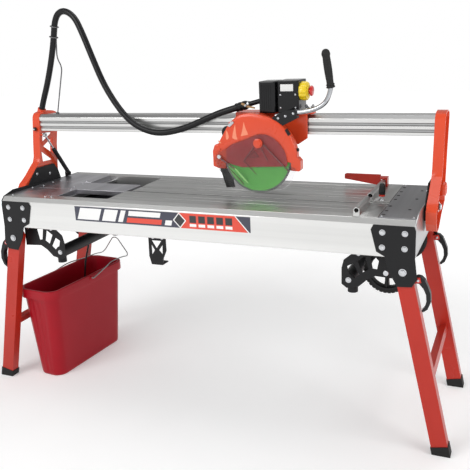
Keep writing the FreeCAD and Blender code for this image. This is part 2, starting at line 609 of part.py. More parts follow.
def make_strut():
    (y0, z0), (y1, z1) = STRUT_FOOT, STRUT_HEAD
    length = math.hypot(y1 - y0, z1 - z0)
    way = V(0, (y1 - y0) / length, (z1 - z0) / length)
    foot = V(STRUT_X, y0, z0)
    x0, x1 = STRUT_X - 5, STRUT_X + 5
    body = Part.makeCylinder(STRUT_TUBE_RADIUS, STRUT_TUBE_LENGTH, foot + way * 8, way)
    body = body.cut(Part.makeCylinder(STRUT_ROD_RADIUS + 0.1, STRUT_TUBE_LENGTH, foot + way * 17, way))
    eye = rod_x(10, x0, x1, y0, z0)
    body = body.fuse(eye).cut(rod_x(STRUT_PIN_RADIUS + RUNNING_GAP, x0 - 9, x1 + 9, y0, z0))
    save("strut_tube", body)
    rod = Part.makeCylinder(STRUT_ROD_RADIUS, length - 19 - 6, foot + way * 19, way)
    head = rod_x(9, x0, x1, y1, z1)
    save("strut_rod", rod.fuse(head).cut(rod_x(STRUT_PIN_RADIUS + 0.5, x0 - 1, x1 + 1, y1, z1)))


# ---------------------------------------------------------------- carriage and head

def make_carriage():
    """A saddle that rides on the rail on four nylon pads, and what is bolted to it."""
    y0 = RAIL_Y0 - 11
    y1 = RAIL_Y0 + RAIL_DEPTH + 11
    top = RAIL_Z0 + RAIL_HEIGHT + 5
    t = SADDLE_THICK
    front = plate_y([(SADDLE_X0, RAIL_Z0), (300, RAIL_Z0), (318, 961), (330, 961), (SADDLE_X1, 983),
                     (SADDLE_X1, top + t), (SADDLE_X0, top + t)], y0, y0 + t)
    roof = box(SADDLE_X0, SADDLE_X1, y0, y1, top, top + t)
    rear = box(SADDLE_X0, SADDLE_X1, y1 - t, y1, RAIL_Z0 + 4, top + t)
    pivot_ear = box(HEAD_PIVOT_X - 22, SADDLE_X0 + 30, y0, y0 + t, HEAD_PIVOT_Z - 22, HEAD_PIVOT_Z + 30)
    wing_x, wing_y = SADDLE_X1 + 4, RAIL_Y0 + 8
    tab = box(SADDLE_X1 - 5, wing_x + 18, wing_y - 16, wing_y + 16, top, top + t)
    pin = rod_y(HEAD_PIN_RADIUS, HEAD_PIVOT_X, HOUSING_BACK + 3, y0 + 1, HEAD_PIVOT_Z)
    collar = rod_y(HEAD_PIN_RADIUS + 5, HEAD_PIVOT_X, CASTING_BACK + PAD_GAP, y0 + 1, HEAD_PIVOT_Z)
    save("saddle", front.fuse([roof, rear, pivot_ear, tab, pin, collar]).removeSplitter())
    pads = []
    for x in (SADDLE_X0 + 12, SADDLE_X1 - 72):
        pads.append(box(x, x + 60, y0 + t, RAIL_Y0 - PAD_GAP, RAIL_Z0 + 40, RAIL_Z0 + 55))
        pads.append(box(x, x + 60, RAIL_Y0 + RAIL_DEPTH + PAD_GAP, y1 - t, RAIL_Z0 + 20, RAIL_Z0 + 55))
        pads.append(box(x, x + 60, RAIL_Y0 + 20, RAIL_Y0 + 60, RAIL_Z0 + RAIL_HEIGHT + PAD_GAP, top))
    save("saddle_pads", *pads)
    floor = top + t
    left = round_edges(box(LEFT_BOX_X, LEFT_BOX_X + LEFT_BOX_WIDTH, -12, 80, floor, 1182), 8, AXIS_Z)
    save("capacitor_box", left)
    stop_y, stop_z, stop_x = 18.0, 1146.0, RIGHT_BOX_X + RIGHT_BOX_WIDTH
    right = round_edges(box(RIGHT_BOX_X, stop_x, -12, 82, floor, 1184), 6, AXIS_Z)
    save("switch_box", right)
    plate = box(stop_x, stop_x + 30, stop_y - 30, stop_y + 34, stop_z - 33, stop_z + 37)
    bore = rod_x(11 + PAD_GAP, stop_x + 6, stop_x + 40, stop_y, stop_z)
    save("stop_button_housing", plate.cut(bore))
    button = rod_x(11, stop_x + 12, stop_x + 35, stop_y, stop_z)
    save("stop_button", button.fuse(rod_x(18, stop_x + 35, stop_x + 44, stop_y, stop_z)))
    wing = rod_z(7, wing_x, wing_y, floor, floor + 14)
    save("saddle_lock_screw", wing.fuse(box(wing_x - 17, wing_x + 17, wing_y - 2, wing_y + 2,
                                            floor + 8, floor + 26)))


def make_head():
    """Gear casting, motor, blade housing and handle, all on the head's pivot."""
    front, back = HOUSING_BACK, CASTING_BACK
    casting = rod_y(24, HEAD_PIVOT_X, front, back, HEAD_PIVOT_Z)
    neck = plate_y([(HEAD_PIVOT_X - 14, HEAD_PIVOT_Z - 20), (BLADE_X - 30, BLADE_Z - 44),
                    (BLADE_X + 30, BLADE_Z + 44), (HEAD_PIVOT_X + 10, HEAD_PIVOT_Z + 22)],
                   front, back)
    gearbox = rod_y(52, BLADE_X, front, back, BLADE_Z)
    casting = casting.fuse([neck, gearbox])
    casting = casting.cut(rod_y(HEAD_PIN_RADIUS + RUNNING_GAP, HEAD_PIVOT_X, -100, 100, HEAD_PIVOT_Z))
    casting = casting.cut(rod_y(ARBOR_RADIUS + RUNNING_GAP, BLADE_X, -100, back - 4, BLADE_Z))
    save("head_casting", casting)
    save("motor", rod_y(MOTOR_RADIUS, BLADE_X, back, back + MOTOR_LENGTH, BLADE_Z))

    # the housing: a thin shell over the upper part of the blade, closed at the back
    low = BLADE_Z - 46
    shell = rod_y(HOUSING_RADIUS, BLADE_X, HOUSING_FRONT, HOUSING_BACK, BLADE_Z)
    cheek = plate_y([(38, 890), (58, 884), (80, 884), (80, 965), (42, 960)], HOUSING_FRONT, HOUSING_BACK)
    bump = plate_y([(335, 884), (366, 884), (366, 920), (354, 930), (335, 930)], HOUSING_FRONT, HOUSING_BACK)
    inside = rod_y(HOUSING_RADIUS - HOUSING_WALL, BLADE_X, HOUSING_FRONT + HOUSING_WALL,
                   HOUSING_BACK - HOUSING_WALL, BLADE_Z)
    window = rod_y(HOUSING_RADIUS - 42, BLADE_X, HOUSING_FRONT - 1, HOUSING_FRONT + HOUSING_WALL + 1,
                   BLADE_Z)
    below = box(-100, 500, HOUSING_FRONT - 1, HOUSING_BACK + 1, 700, low)
    housing = shell.fuse([cheek, bump]).cut(inside).cut(window).cut(below)
    housing = housing.cut(rod_y(FLANGE_RADIUS + 4, BLADE_X, HOUSING_BACK - 4, HOUSING_BACK + 1, BLADE_Z))
    save("blade_housing", housing)
    flap = plate_y([(52, low), (96, low), (108, 812), (74, 808)], HOUSING_BACK - HOUSING_WALL, HOUSING_BACK)
    save("splash_flap", flap)

    y = HANDLE_Y
    route = [(274, y, 1068), (330, y, 1078), (392, y, 1084), (438, y, 1101), (461, y, 1130), (467, y, 1160)]
    tube_radius, grip_radius = 8.0, 14.0
    stem = tube(route, tube_radius)
    save("handle_tube", stem)
    grip_foot = V(*route[-1])
    grip_way = V(-16, 0, 104).normalize()
    grip = Part.makeCylinder(grip_radius, 112, grip_foot, grip_way)
    save("handle_grip", grip.fuse(Part.makeSphere(grip_radius, grip_foot + grip_way * 112)).cut(
        tube([route[-2], route[-1]], 20)))
    clamp = plate_y([(264, 1046), (266, 1066), (314, 1088), (350, 1090), (354, 1062), (300, 1036)], y - 13, y + 10)
    clamp = clamp.cut(rod_y(HOUSING_RADIUS, BLADE_X, -100, 100, BLADE_Z))
    save("handle_clamp", clamp.cut(stem))


def make_guard():
    """The clear lower guard, hinged at the left of the housing."""
    hx, hz = GUARD_HINGE
    outer = arc_points(BLADE_X, BLADE_Z, HOUSING_RADIUS - 3, -52, 0, 10)
    crest = arc_points(BLADE_X, BLADE_Z, HOUSING_RADIUS - 40, 12, 150, 14)
    left = [(hx + 10, hz + 16), (hx - 12, hz + 8), (hx - 14, hz - 12), (hx + 6, hz - 40), (hx + 30, 846),
            (hx + 58, GUARD_BOTTOM)]
    pts = left + [(BLADE_X + 84, GUARD_BOTTOM)] + outer + crest
    sheet = plate_y(pts, GUARD_FRONT, GUARD_FRONT + GUARD_THICK)
    save("clear_guard", sheet.cut(rod_y(GUARD_PIN_RADIUS, hx, GUARD_FRONT - 1, HOUSING_FRONT, hz)))
    pin = rod_y(GUARD_PIN_RADIUS, hx, GUARD_FRONT - 4, HOUSING_FRONT - PAD_GAP, hz)
    boss = rod_y(17, BLADE_X + 8, GUARD_FRONT - 9, GUARD_FRONT, BLADE_Z + 52)
    save("guard_fittings", pin, boss)


def make_blade():
    half = BLADE_THICK / 2
    blade = rod_y(BLADE_RADIUS, BLADE_X, SLOT_Y - half, SLOT_Y + half, BLADE_Z)
    blade = blade.cut(rod_y(ARBOR_RADIUS, BLADE_X, SLOT_Y - 5, SLOT_Y + 5, BLADE_Z))
    save("blade", blade)
    arbor = rod_y(ARBOR_RADIUS, BLADE_X, SLOT_Y - 8, CASTING_BACK - 5, BLADE_Z)
    flange = rod_y(FLANGE_RADIUS, BLADE_X, SLOT_Y + half, SLOT_Y + 12, BLADE_Z)
    washer = rod_y(FLANGE_RADIUS, BLADE_X, SLOT_Y - 6, SLOT_Y - half, BLADE_Z)
    washer = washer.cut(rod_y(ARBOR_RADIUS, BLADE_X, -100, 0, BLADE_Z))
    save("arbor", arbor.fuse(flange), washer)


# ---------------------------------------------------------------- bucket

def rounded_section(size, z, corner):
    """A rounded rectangle about the bucket's own axis, at one height."""
    flat = box(-size[0] / 2, size[0] / 2, -size[1] / 2, size[1] / 2, z, z + 1)
    block = round_edges(flat, corner, AXIS_Z)
    wire = [f for f in block.Faces if f.normalAt(0, 0).z < -0.9][0].OuterWire
    return wire


def place_bucket(shape):
    shape.rotate(V(0, 0, 0), AXIS_Z, BUCKET_TURN)
    shape.translate(V(BUCKET_X, BUCKET_Y, 0))
    return shape


def make_bucket():
    (tx, ty), (bx, by) = BUCKET_TOP, BUCKET_BASE
    w, h = BUCKET_WALL, BUCKET_HEIGHT
    slope = ((tx - bx) / h, (ty - by) / h)
    outer = Part.makeLoft([rounded_section(BUCKET_BASE, 0, 44), rounded_section(BUCKET_TOP, h, 44)], True, True)
    inner = Part.makeLoft([rounded_section((bx - 2 * w + slope[0] * w, by - 2 * w + slope[1] * w), w, 40),
                           rounded_section((tx - 2 * w + slope[0], ty - 2 * w + slope[1]), h + 1, 40)],
                          True, True)
    rim_size = (tx + 2 * BUCKET_RIM, ty + 2 * BUCKET_RIM)
    ledge = Part.Face(rounded_section(rim_size, h - 38, 52)).extrude(V(0, 0, 38))
    hollow = Part.Face(rounded_section((tx + 2 * BUCKET_RIM - 2 * w, ty + 2 * BUCKET_RIM - 2 * w), h - 39, 49))
    ledge = ledge.cut(hollow.extrude(V(0, 0, 39 - w)))
    side = rim_size[0] / 2
    bail_z = h - 12
    ears = [box(x - 3.5, x + 3.5, -8, 8, bail_z - 8, bail_z + 8) for x in (-side - 2.5, side + 2.5)]
    bucket = outer.fuse([ledge] + ears).cut(inner)
    bucket = bucket.cut(rod_x(BAIL_RADIUS + RUNNING_GAP, -side - 10, side + 10, 0, bail_z))
    save("bucket", place_bucket(bucket))
    over = h + BAIL_RADIUS + 3
    back = rim_size[1] / 2 + BAIL_REACH
    half = [(side, 0, bail_z), (side + 14, 0, bail_z), (side + 7, 90, over), (side - 22, 170, over),
            (side - 22, back - 55, over - 2), (side - 22, back, over - 13), (12, back, h + BAIL_RISE)]
    route = half + [(-x, y, z) for x, y, z in half[::-1]]
    save("bucket_bail", place_bucket(tube(route, BAIL_RADIUS)))


def make_drain_hose(tray_bottom):
    route = [(DRAIN_X, DRAIN_Y, tray_bottom - 18), (DRAIN_X, DRAIN_Y, tray_bottom - 100),
             (DRAIN_X - 12, DRAIN_Y + 1, tray_bottom - 174), (DRAIN_X - 42, DRAIN_Y + 2, tray_bottom - 254),
             (DRAIN_X - 54, DRAIN_Y + 3, tray_bottom - 340)]
    save("drain_hose", tube(route, DRAIN_RADIUS, report="drain_hose"))


make_beams()
make_end_plates()
tray_bottom = make_tray()
make_deck()
make_fence()
make_leg_brackets()
make_legs()
make_levers()
make_trusses()
make_wheels()
make_leg_catch()
make_towers()
make_rail()
make_hose()
make_strut()
make_carriage()
make_head()
make_guard()
make_blade()
make_bucket()
make_drain_hose(tray_bottom)
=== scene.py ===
import json
import math
import bmesh
import bpy
import numpy as np
from mathutils import Matrix, Vector

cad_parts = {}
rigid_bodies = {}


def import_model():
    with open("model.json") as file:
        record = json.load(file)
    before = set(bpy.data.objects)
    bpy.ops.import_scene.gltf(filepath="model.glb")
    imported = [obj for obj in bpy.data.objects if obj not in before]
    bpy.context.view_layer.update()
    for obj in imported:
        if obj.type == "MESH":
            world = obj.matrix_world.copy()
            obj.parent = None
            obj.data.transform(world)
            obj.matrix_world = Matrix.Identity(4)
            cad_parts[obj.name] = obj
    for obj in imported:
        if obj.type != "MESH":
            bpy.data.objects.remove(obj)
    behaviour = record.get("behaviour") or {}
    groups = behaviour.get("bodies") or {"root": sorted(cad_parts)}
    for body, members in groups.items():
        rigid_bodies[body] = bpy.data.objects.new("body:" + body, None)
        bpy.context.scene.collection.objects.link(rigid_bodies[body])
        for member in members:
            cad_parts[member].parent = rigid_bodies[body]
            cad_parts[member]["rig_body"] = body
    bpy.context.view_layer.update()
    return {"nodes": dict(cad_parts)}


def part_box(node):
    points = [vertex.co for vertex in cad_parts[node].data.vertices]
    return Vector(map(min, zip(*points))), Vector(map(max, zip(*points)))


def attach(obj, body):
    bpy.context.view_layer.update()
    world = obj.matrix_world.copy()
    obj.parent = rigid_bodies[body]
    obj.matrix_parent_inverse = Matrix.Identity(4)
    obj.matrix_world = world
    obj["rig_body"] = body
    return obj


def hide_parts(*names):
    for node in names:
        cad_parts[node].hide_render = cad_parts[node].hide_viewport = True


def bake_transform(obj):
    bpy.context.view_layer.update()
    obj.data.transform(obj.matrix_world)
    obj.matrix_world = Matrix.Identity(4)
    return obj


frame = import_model()

# ---- camera ----
# A studio camera to the right of the saw and a little above its handle, looking down and to the left.
# It leans by two and a half degrees, so that the table runs downhill to the right.
CAMERA_PLACE = Vector((1.0521, -2.2529, 1.3220))
CAMERA_YAW, CAMERA_PITCH, CAMERA_ROLL = (math.radians(a) for a in (23.32, 16.06, -2.49))
ahead = Vector((-math.sin(CAMERA_YAW) * math.cos(CAMERA_PITCH),
                math.cos(CAMERA_YAW) * math.cos(CAMERA_PITCH), -math.sin(CAMERA_PITCH)))
level = Vector((math.cos(CAMERA_YAW), math.sin(CAMERA_YAW), 0))
above = level.cross(ahead)
right = level * math.cos(CAMERA_ROLL) + above * math.sin(CAMERA_ROLL)
upward = above * math.cos(CAMERA_ROLL) - level * math.sin(CAMERA_ROLL)
camera = bpy.data.objects.new("camera", bpy.data.cameras.new("camera"))
camera.data.lens = 51.7
camera.data.sensor_width = 36
camera.matrix_world = Matrix.Translation(CAMERA_PLACE) @ Matrix((right, upward,
                                                                 -ahead)).transposed().to_4x4()
bpy.context.scene.collection.objects.link(camera)
bpy.context.scene.camera = camera

# ---- power hose ----
# A smooth black rubber hose round the cable and the water line. It leaves the gland on the left tower,
# climbs to the mast's hook, and falls in one long curve to the sleeve on the saddle.


def add_node(tree, kind, values, **settings):
    """A node with its settings, and each input set to a number or linked to another node's output."""
    made = tree.nodes.new(kind)
    for key, value in settings.items():
        setattr(made, key, value)
    for key, value in values.items():
        if isinstance(value, bpy.types.NodeSocket):
            tree.links.new(value, made.inputs[key])
        else:
            made.inputs[key].default_value = value
    return made


def make_group(name, inputs, outputs):
    """An empty shader node group with named inputs (name, kind, default) and outputs (name, kind)."""
    group = bpy.data.node_groups.new(name, "ShaderNodeTree")
    for label, kind, value in inputs:
        group.interface.new_socket(label, in_out="INPUT", socket_type=kind).default_value = value
    for label, kind in outputs:
        group.interface.new_socket(label, in_out="OUTPUT", socket_type=kind)
    return group, group.nodes.new("NodeGroupInput").outputs, group.nodes.new("NodeGroupOutput").inputs


FLOAT, VECTOR = "NodeSocketFloat", "NodeSocketVector"

# fine texture: small relief at one scale, and slow cloudy variation at another
texture_group, given, out = make_group(
    "fine texture", [("Stretch", VECTOR, (1, 1, 1)), ("Grain", FLOAT, 900.0), ("Cloud", FLOAT, 6.0)],
    [("Height", FLOAT), ("Clouds", FLOAT)])
place = add_node(texture_group, "ShaderNodeTexCoord", {}).outputs["Object"]
stretched = add_node(texture_group, "ShaderNodeVectorMath", {0: place, 1: given["Stretch"]},
                     operation="MULTIPLY")
relief = add_node(texture_group, "ShaderNodeTexNoise",
                  {"Vector": stretched.outputs[0], "Scale": given["Grain"], "Detail": 3.0,
                   "Roughness": 0.6})
clouds = add_node(texture_group, "ShaderNodeTexNoise",
                  {"Vector": stretched.outputs[0], "Scale": given["Cloud"], "Detail": 4.0,
                   "Roughness": 0.55})
texture_group.links.new(relief.outputs["Fac"], out["Height"])
texture_group.links.new(clouds.outputs["Fac"], out["Clouds"])

# worn edges: where the surface turns sharply the rounded normal leaves the true one, broken up by noise
edge_group, given, out = make_group(
    "worn edges", [("Amount", FLOAT, 0.5), ("Breakup", FLOAT, 60.0)], [("Mask", FLOAT)])
true_normal = add_node(edge_group, "ShaderNodeNewGeometry", {}).outputs["Normal"]
soft_normal = add_node(edge_group, "ShaderNodeBevel", {"Radius": 0.0025}, samples=6).outputs["Normal"]
agree = add_node(edge_group, "ShaderNodeVectorMath", {0: true_normal, 1: soft_normal},
                 operation="DOT_PRODUCT")
turned = add_node(edge_group, "ShaderNodeMapRange",
                  {"Value": agree.outputs["Value"], "From Min": 0.985, "From Max": 0.86})
object_place = add_node(edge_group, "ShaderNodeTexCoord", {}).outputs["Object"]
chips = add_node(edge_group, "ShaderNodeTexNoise",
                 {"Vector": object_place, "Scale": given["Breakup"], "Detail": 5.0, "Roughness": 0.7})
chipped = add_node(edge_group, "ShaderNodeMapRange",
                   {"Value": chips.outputs["Fac"], "From Min": 0.45, "From Max": 0.7})
both = add_node(edge_group, "ShaderNodeMath", {0: turned.outputs[0], 1: chipped.outputs[0]},
                operation="MULTIPLY")
scaled = add_node(edge_group, "ShaderNodeMath", {0: both.outputs[0], 1: given["Amount"]},
                  operation="MULTIPLY", use_clamp=True)
edge_group.links.new(scaled.outputs[0], out["Mask"])


def make_finish(name, colour, shade, rough, grain=900.0, depth=0.00003, stretch=(1, 1, 1), cloud=6.0,
                worn=None, wear=0.5, metal=0.0, **sockets):
    """A material: its colour drifts towards a shade and its roughness between two values with slow clouds,
    a fine relief lies on it, and its edges may be worn to another colour."""
    material = bpy.data.materials.new(name)
    material.use_nodes = True
    tree = material.node_tree
    shader = tree.nodes["Principled BSDF"]
    shader.inputs["Metallic"].default_value = metal
    for key, value in sockets.items():
        shader.inputs[key.replace("_", " ")].default_value = value
    texture = add_node(tree, "ShaderNodeGroup", {}, node_tree=texture_group)
    texture.inputs["Stretch"].default_value = stretch
    texture.inputs["Grain"].default_value = grain
    texture.inputs["Cloud"].default_value = cloud
    spread = add_node(tree, "ShaderNodeMapRange", {"Value": texture.outputs["Clouds"], "From Min": 0.3,
                                                   "From Max": 0.7}).outputs[0]
    tint = add_node(tree, "ShaderNodeMix", {0: spread, 6: (*colour, 1), 7: (*shade, 1)}, data_type="RGBA")
    painted = tint.outputs[2]
    if worn:
        edges = add_node(tree, "ShaderNodeGroup", {}, node_tree=edge_group)
        edges.inputs["Amount"].default_value = wear
        painted = add_node(tree, "ShaderNodeMix", {0: edges.outputs["Mask"], 6: painted, 7: (*worn, 1)},
                           data_type="RGBA").outputs[2]
    tree.links.new(painted, shader.inputs["Base Color"])
    roughness = add_node(tree, "ShaderNodeMapRange", {"Value": texture.outputs["Clouds"], "From Min": 0.3,
                                                      "From Max": 0.7, "To Min": rough[0],
                                                      "To Max": rough[1]})
    tree.links.new(roughness.outputs[0], shader.inputs["Roughness"])
    bump = add_node(tree, "ShaderNodeBump", {"Height": texture.outputs["Height"], "Distance": depth})
    tree.links.new(bump.outputs["Normal"], shader.inputs["Normal"])
    return material


def skin(points, around=True, caps=True, finish=0, loop=False):
    """Vertices and quads of a grid of points (rows, columns, xyz): each joins a point to the next in its
    row and in the next row. around closes the rows on themselves, caps close the first and the last row,
    and loop joins the last row to the first instead."""
    points = np.asarray(points, float)
    if loop:
        points = np.concatenate([points, points[:1]])
        caps = False
    rows, columns = points.shape[:2]
    index = np.arange(rows * columns).reshape(rows, columns)
    near = index if around else index[:, :-1]
    far = np.roll(index, -1, axis=1) if around else index[:, 1:]
    quads = np.stack([near[:-1], far[:-1], far[1:], near[1:]], axis=-1).reshape(-1, 4).tolist()
    if caps:
        quads += [index[0, ::-1].tolist(), index[-1].tolist()]
    return points.reshape(-1, 3), quads, finish


def make_piece(name, skins, materials, body, stands_for=(), sharp=35.0, outwards=True):
    """One mesh object at the origin: the skins joined and welded, facing outwards, smooth except where
    two faces meet at more than the sharp angle."""
    corners, faces, finishes, start = [], [], [], 0
    for points, polygons, finish in skins:
        corners.append(points)
        faces += [[start + i for i in polygon] for polygon in polygons]
        finishes += [finish] * len(polygons)
        start += len(points)
    mesh = bpy.data.meshes.new(name)
    mesh.from_pydata(np.concatenate(corners).tolist(), [], faces)
    for material in materials:
        mesh.materials.append(material)
    mesh.polygons.foreach_set("material_index", finishes)
    shell = bmesh.new()
    shell.from_mesh(mesh)
    bmesh.ops.remove_doubles(shell, verts=shell.verts, dist=1e-6)
    if outwards:
        bmesh.ops.recalc_face_normals(shell, faces=shell.faces)
    shell.to_mesh(mesh)
    shell.free()
    mesh.shade_smooth()
    mesh.set_sharp_from_angle(angle=math.radians(sharp))
    made = bpy.data.objects.new(name, mesh)
    bpy.context.scene.collection.objects.link(made)
    if body:
        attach(made, body)
    if stands_for:
        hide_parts(*stands_for)
    return made


def smooth_line(name, route, resolution):
    """Points along the NURBS spline of order 3 whose control points are the route, read from a curve
    without bevel."""
    data = bpy.data.curves.new(name, "CURVE")
    data.dimensions = "3D"
    data.resolution_u = resolution
    spline = data.splines.new("NURBS")
    spline.points.add(len(route) - 1)
    spline.points.foreach_set("co", np.column_stack([route, np.ones(len(route))]).ravel())
    spline.order_u = 3
    spline.use_endpoint_u = True
    holder = bpy.data.objects.new(name, data)
    line = bpy.data.meshes.new_from_object(holder)
    points = np.zeros(len(line.vertices) * 3)
    line.vertices.foreach_get("co", points)
    bpy.data.objects.remove(holder)
    bpy.data.curves.remove(data)
    bpy.data.meshes.remove(line)
    return points.reshape(-1, 3)


def carried(path, radii, around=20, up=(0, 1, 0)):
    """Rings along a path: at each point a circle of that radius, in the plane square to the path, turned
    to one upward direction."""
    path = np.asarray(path, float)
    ahead_ways = np.gradient(path, axis=0)
    ahead_ways /= np.linalg.norm(ahead_ways, axis=1)[:, None]
    sides = np.cross(ahead_ways, up)
    sides /= np.linalg.norm(sides, axis=1)[:, None]
    ups = np.cross(sides, ahead_ways)
    angles = np.linspace(0, 2 * np.pi, around, endpoint=False)
    radii = np.broadcast_to(np.asarray(radii, float).reshape(-1, 1, 1), (len(path), 1, 1))
    circle = np.cos(angles)[None, :, None] * sides[:, None] + np.sin(angles)[None, :, None] * ups[:, None]
    return path[:, None] + radii * circle


HOSE_ROUTE = np.array([
    (-802, 70, 1082), (-788, 67, 1114), (-758, 63, 1174), (-726, 61, 1256), (-697, 58, 1346),
    (-676, 56, 1440), (-632, 52, 1466), (-578, 46, 1440), (-544, 40, 1376), (-504, 32, 1284),
    (-460, 24, 1186), (-406, 14, 1108), (-349, 6, 1047), (-288, 2, 1011), (-210, 0, 994),
    (-106, 0, 1014), (-12, 2, 1052), (50, 4, 1076), (104, 6, 1090)]) / 1000
HOSE_RADIUS = 0.012
rubber = make_finish("hose rubber", (0.004, 0.004, 0.005), (0.008, 0.008, 0.009), (0.28, 0.38), grain=500,
                     depth=0.00005, cloud=14, Specular_IOR_Level=0.24)
hose_line = smooth_line("hose line", HOSE_ROUTE, 14)
power_hose = make_piece("hose", [skin(carried(hose_line, HOSE_RADIUS, 24))], [rubber], None,
                        ["power_hose"], sharp=60)

# the thick end of the hose on the saddle: a moulded sleeve with three ribs, then a neck into the box
sleeve_way = (HOSE_ROUTE[-1] - HOSE_ROUTE[-2]) / np.linalg.norm(HOSE_ROUTE[-1] - HOSE_ROUTE[-2])
sleeve_reach = (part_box("hose_sleeve")[1][0] - HOSE_ROUTE[-1][0]) / sleeve_way[0]
sleeve_shape = np.array([(0.0, 13.0), (0.001, 15.2), (0.008, 15.6), (0.010, 14.4), (0.013, 14.4),
                         (0.015, 16),
                         (0.022, 16), (0.024, 14.6), (0.027, 14.6), (0.029, 16), (0.040, 16), (0.046, 14),
                         (0.0462, 9.2), (0.052, 8.8), (0.075, 8.8), (sleeve_reach, 8.8)])
hose_sleeve = make_piece("hose_end", [skin(carried(
    HOSE_ROUTE[-1] + sleeve_shape[:, :1] * sleeve_way, sleeve_shape[:, 1] / 1000, 28))],
    [rubber], "carriage", ["hose_sleeve"], sharp=40)
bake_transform(power_hose)

# ---- drain hose ----
# A thin black hose pushed over the tray's spout. It hangs down past the cross tube, and its cut end is
# inside the bucket's rim.
DRAIN_ROUTE = np.array([(-602, 35, 671), (-602, 35, 589), (-614, 36, 515), (-644, 37, 435),
                        (-656, 38, 349)]) / 1000
DRAIN_RADIUS = 0.004
drain_line = smooth_line("drain line", DRAIN_ROUTE, 12)
drain_hose = make_piece("drain_tube", [skin(carried(drain_line, DRAIN_RADIUS, 16))], [rubber], "frame",
                        ["drain_hose"], sharp=60)

# ---- studio ----
# A white floor that runs out of sight and glows with painted light: less near the saw, so that its real
# shadow shows pale grey there, and more with distance, so that it fades into the white backdrop. A room
# that is darker overhead and behind lets bright metal show its form. Three broad soft lights stand in
# front, on the right and on top.
bpy.context.scene.view_settings.view_transform = "Standard"
world = bpy.data.worlds.new("studio")
bpy.context.scene.world = world
world.use_nodes = True
room = world.node_tree
background = room.nodes["Background"]
facing = add_node(room, "ShaderNodeSeparateXYZ",
                  {"Vector": add_node(room, "ShaderNodeTexCoord", {}).outputs["Generated"]})
overhead = add_node(room, "ShaderNodeMapRange",
                    {"Value": facing.outputs["Z"], "From Min": 0.0, "From Max": 0.75,
                                                 "To Min": 0.0, "To Max": 0.5})
behind = add_node(room, "ShaderNodeMapRange",
                  {"Value": facing.outputs["Y"], "From Min": -0.2, "From Max": 0.9,
                                               "To Min": 0.0, "To Max": 0.42})
shade = add_node(room, "ShaderNodeMath", {0: overhead.outputs[0], 1: behind.outputs[0]}, operation="ADD")
level_of_light = add_node(room, "ShaderNodeMath", {0: 0.95, 1: shade.outputs[0]}, operation="SUBTRACT")
seen = add_node(room, "ShaderNodeLightPath", {}).outputs["Is Camera Ray"]
strength = add_node(room, "ShaderNodeMix", {0: seen, 2: level_of_light.outputs[0], 3: 1.0})
room.links.new(strength.outputs[0], background.inputs["Strength"])
background.inputs["Color"].default_value = (1, 1, 1, 1)
FLOOR_HALF = 14.0
floor_finish = make_finish("studio floor", (0.84, 0.84, 0.84), (0.86, 0.86, 0.86), (0.8, 0.9), grain=40,
                           depth=0.0, Emission_Color=(1, 1, 1, 1))
floor_tree = floor_finish.node_tree
# painted light: the floor's glow grows from 0.20 near the saw to 0.72 far out
away = add_node(floor_tree, "ShaderNodeVectorMath",
                {0: add_node(floor_tree, "ShaderNodeTexCoord", {}).outputs["Object"]}, operation="LENGTH")
glow = add_node(floor_tree, "ShaderNodeMapRange",
                {"Value": away.outputs["Value"], "From Min": 0.9, "From Max": 3.6,
                                                   "To Min": 0.20, "To Max": 0.72})
floor_tree.links.new(glow.outputs[0], floor_tree.nodes["Principled BSDF"].inputs["Emission Strength"])
floor_corners = np.array([[(-1, -1, 0), (1, -1, 0)], [(-1, 1, 0), (1, 1, 0)]]) * FLOOR_HALF - (0, 0, 0.0005)
floor = make_piece("floor", [skin(floor_corners, around=False, caps=False)], [floor_finish], None,
                   outwards=False)


def add_light(name, place, target, size, power):
    """A square soft light that faces a point."""
    light = bpy.data.objects.new(name, bpy.data.lights.new(name, "AREA"))
    light.data.size = size
    light.data.energy = power
    light.location = place
    light.rotation_mode = "QUATERNION"
    light.rotation_quaternion = (Vector(target) - Vector(place)).to_track_quat("-Z", "Y")
    bpy.context.scene.collection.objects.link(light)


add_light("key", (-1.5, -2.8, 3.0), (0, 0, 0.7), 2.0, 62)
add_light("rim", (2.8, -0.9, 1.9), (0.4, 0, 0.8), 1.4, 26)
add_light("top", (0.2, 0.9, 3.4), (0, 0, 0.8), 2.4, 34)

# ---- side beams ----
# Two hollow aluminium extrusions with a chamfered top edge. The die leaves fine lines along them, and
# their cut edges are broken.


def round_edges(piece, width, segments, angle):
    """A small bevel on the edges that turn by more than an angle, in degrees."""
    bevel = piece.modifiers.new("broken edges", "BEVEL")
    bevel.width = width
    bevel.segments = segments
    bevel.limit_method = "ANGLE"
    bevel.angle_limit = math.radians(angle)
    bevel.use_clamp_overlap = True


def finished_copy(node, material, width=0.0008, steps=2, limit=32.0):
    """A welded copy of a CAD node in one material, with its sharp edges rounded off by a small bevel."""
    source = frame["nodes"][node]
    mesh = source.data.copy()
    mesh.materials.clear()
    mesh.materials.append(material)
    shell = bmesh.new()
    shell.from_mesh(mesh)
    bmesh.ops.remove_doubles(shell, verts=shell.verts, dist=2e-6)
    bmesh.ops.dissolve_limit(shell, angle_limit=math.radians(0.6), verts=shell.verts, edges=shell.edges)
    shell.to_mesh(mesh)
    shell.free()
    mesh.polygons.foreach_set("material_index", np.zeros(len(mesh.polygons), dtype=np.int32))
    mesh.shade_smooth()
    mesh.set_sharp_from_angle(angle=math.radians(limit))
    made = bpy.data.objects.new("made_" + node, mesh)
    bpy.context.scene.collection.objects.link(made)
    if width:
        round_edges(made, width, steps, limit)
    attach(made, source["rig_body"])
    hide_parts(node)
    return made


def box_mm(node):
    """Lowest and highest corner of a CAD node at rest, in millimetres."""
    return [np.array(corner) * 1000 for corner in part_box(node)]


def slab(outline, near, far, finish=0):
    """A flat closed shape: an outline in X and Z, in millimetres, carried from one Y to another."""
    flat = np.array(outline, float)
    ring = np.column_stack([flat[:, 0], np.zeros(len(flat)), flat[:, 1]])
    return skin(np.stack([ring + (0, near, 0), ring + (0, far, 0)]) / 1000, finish=finish)


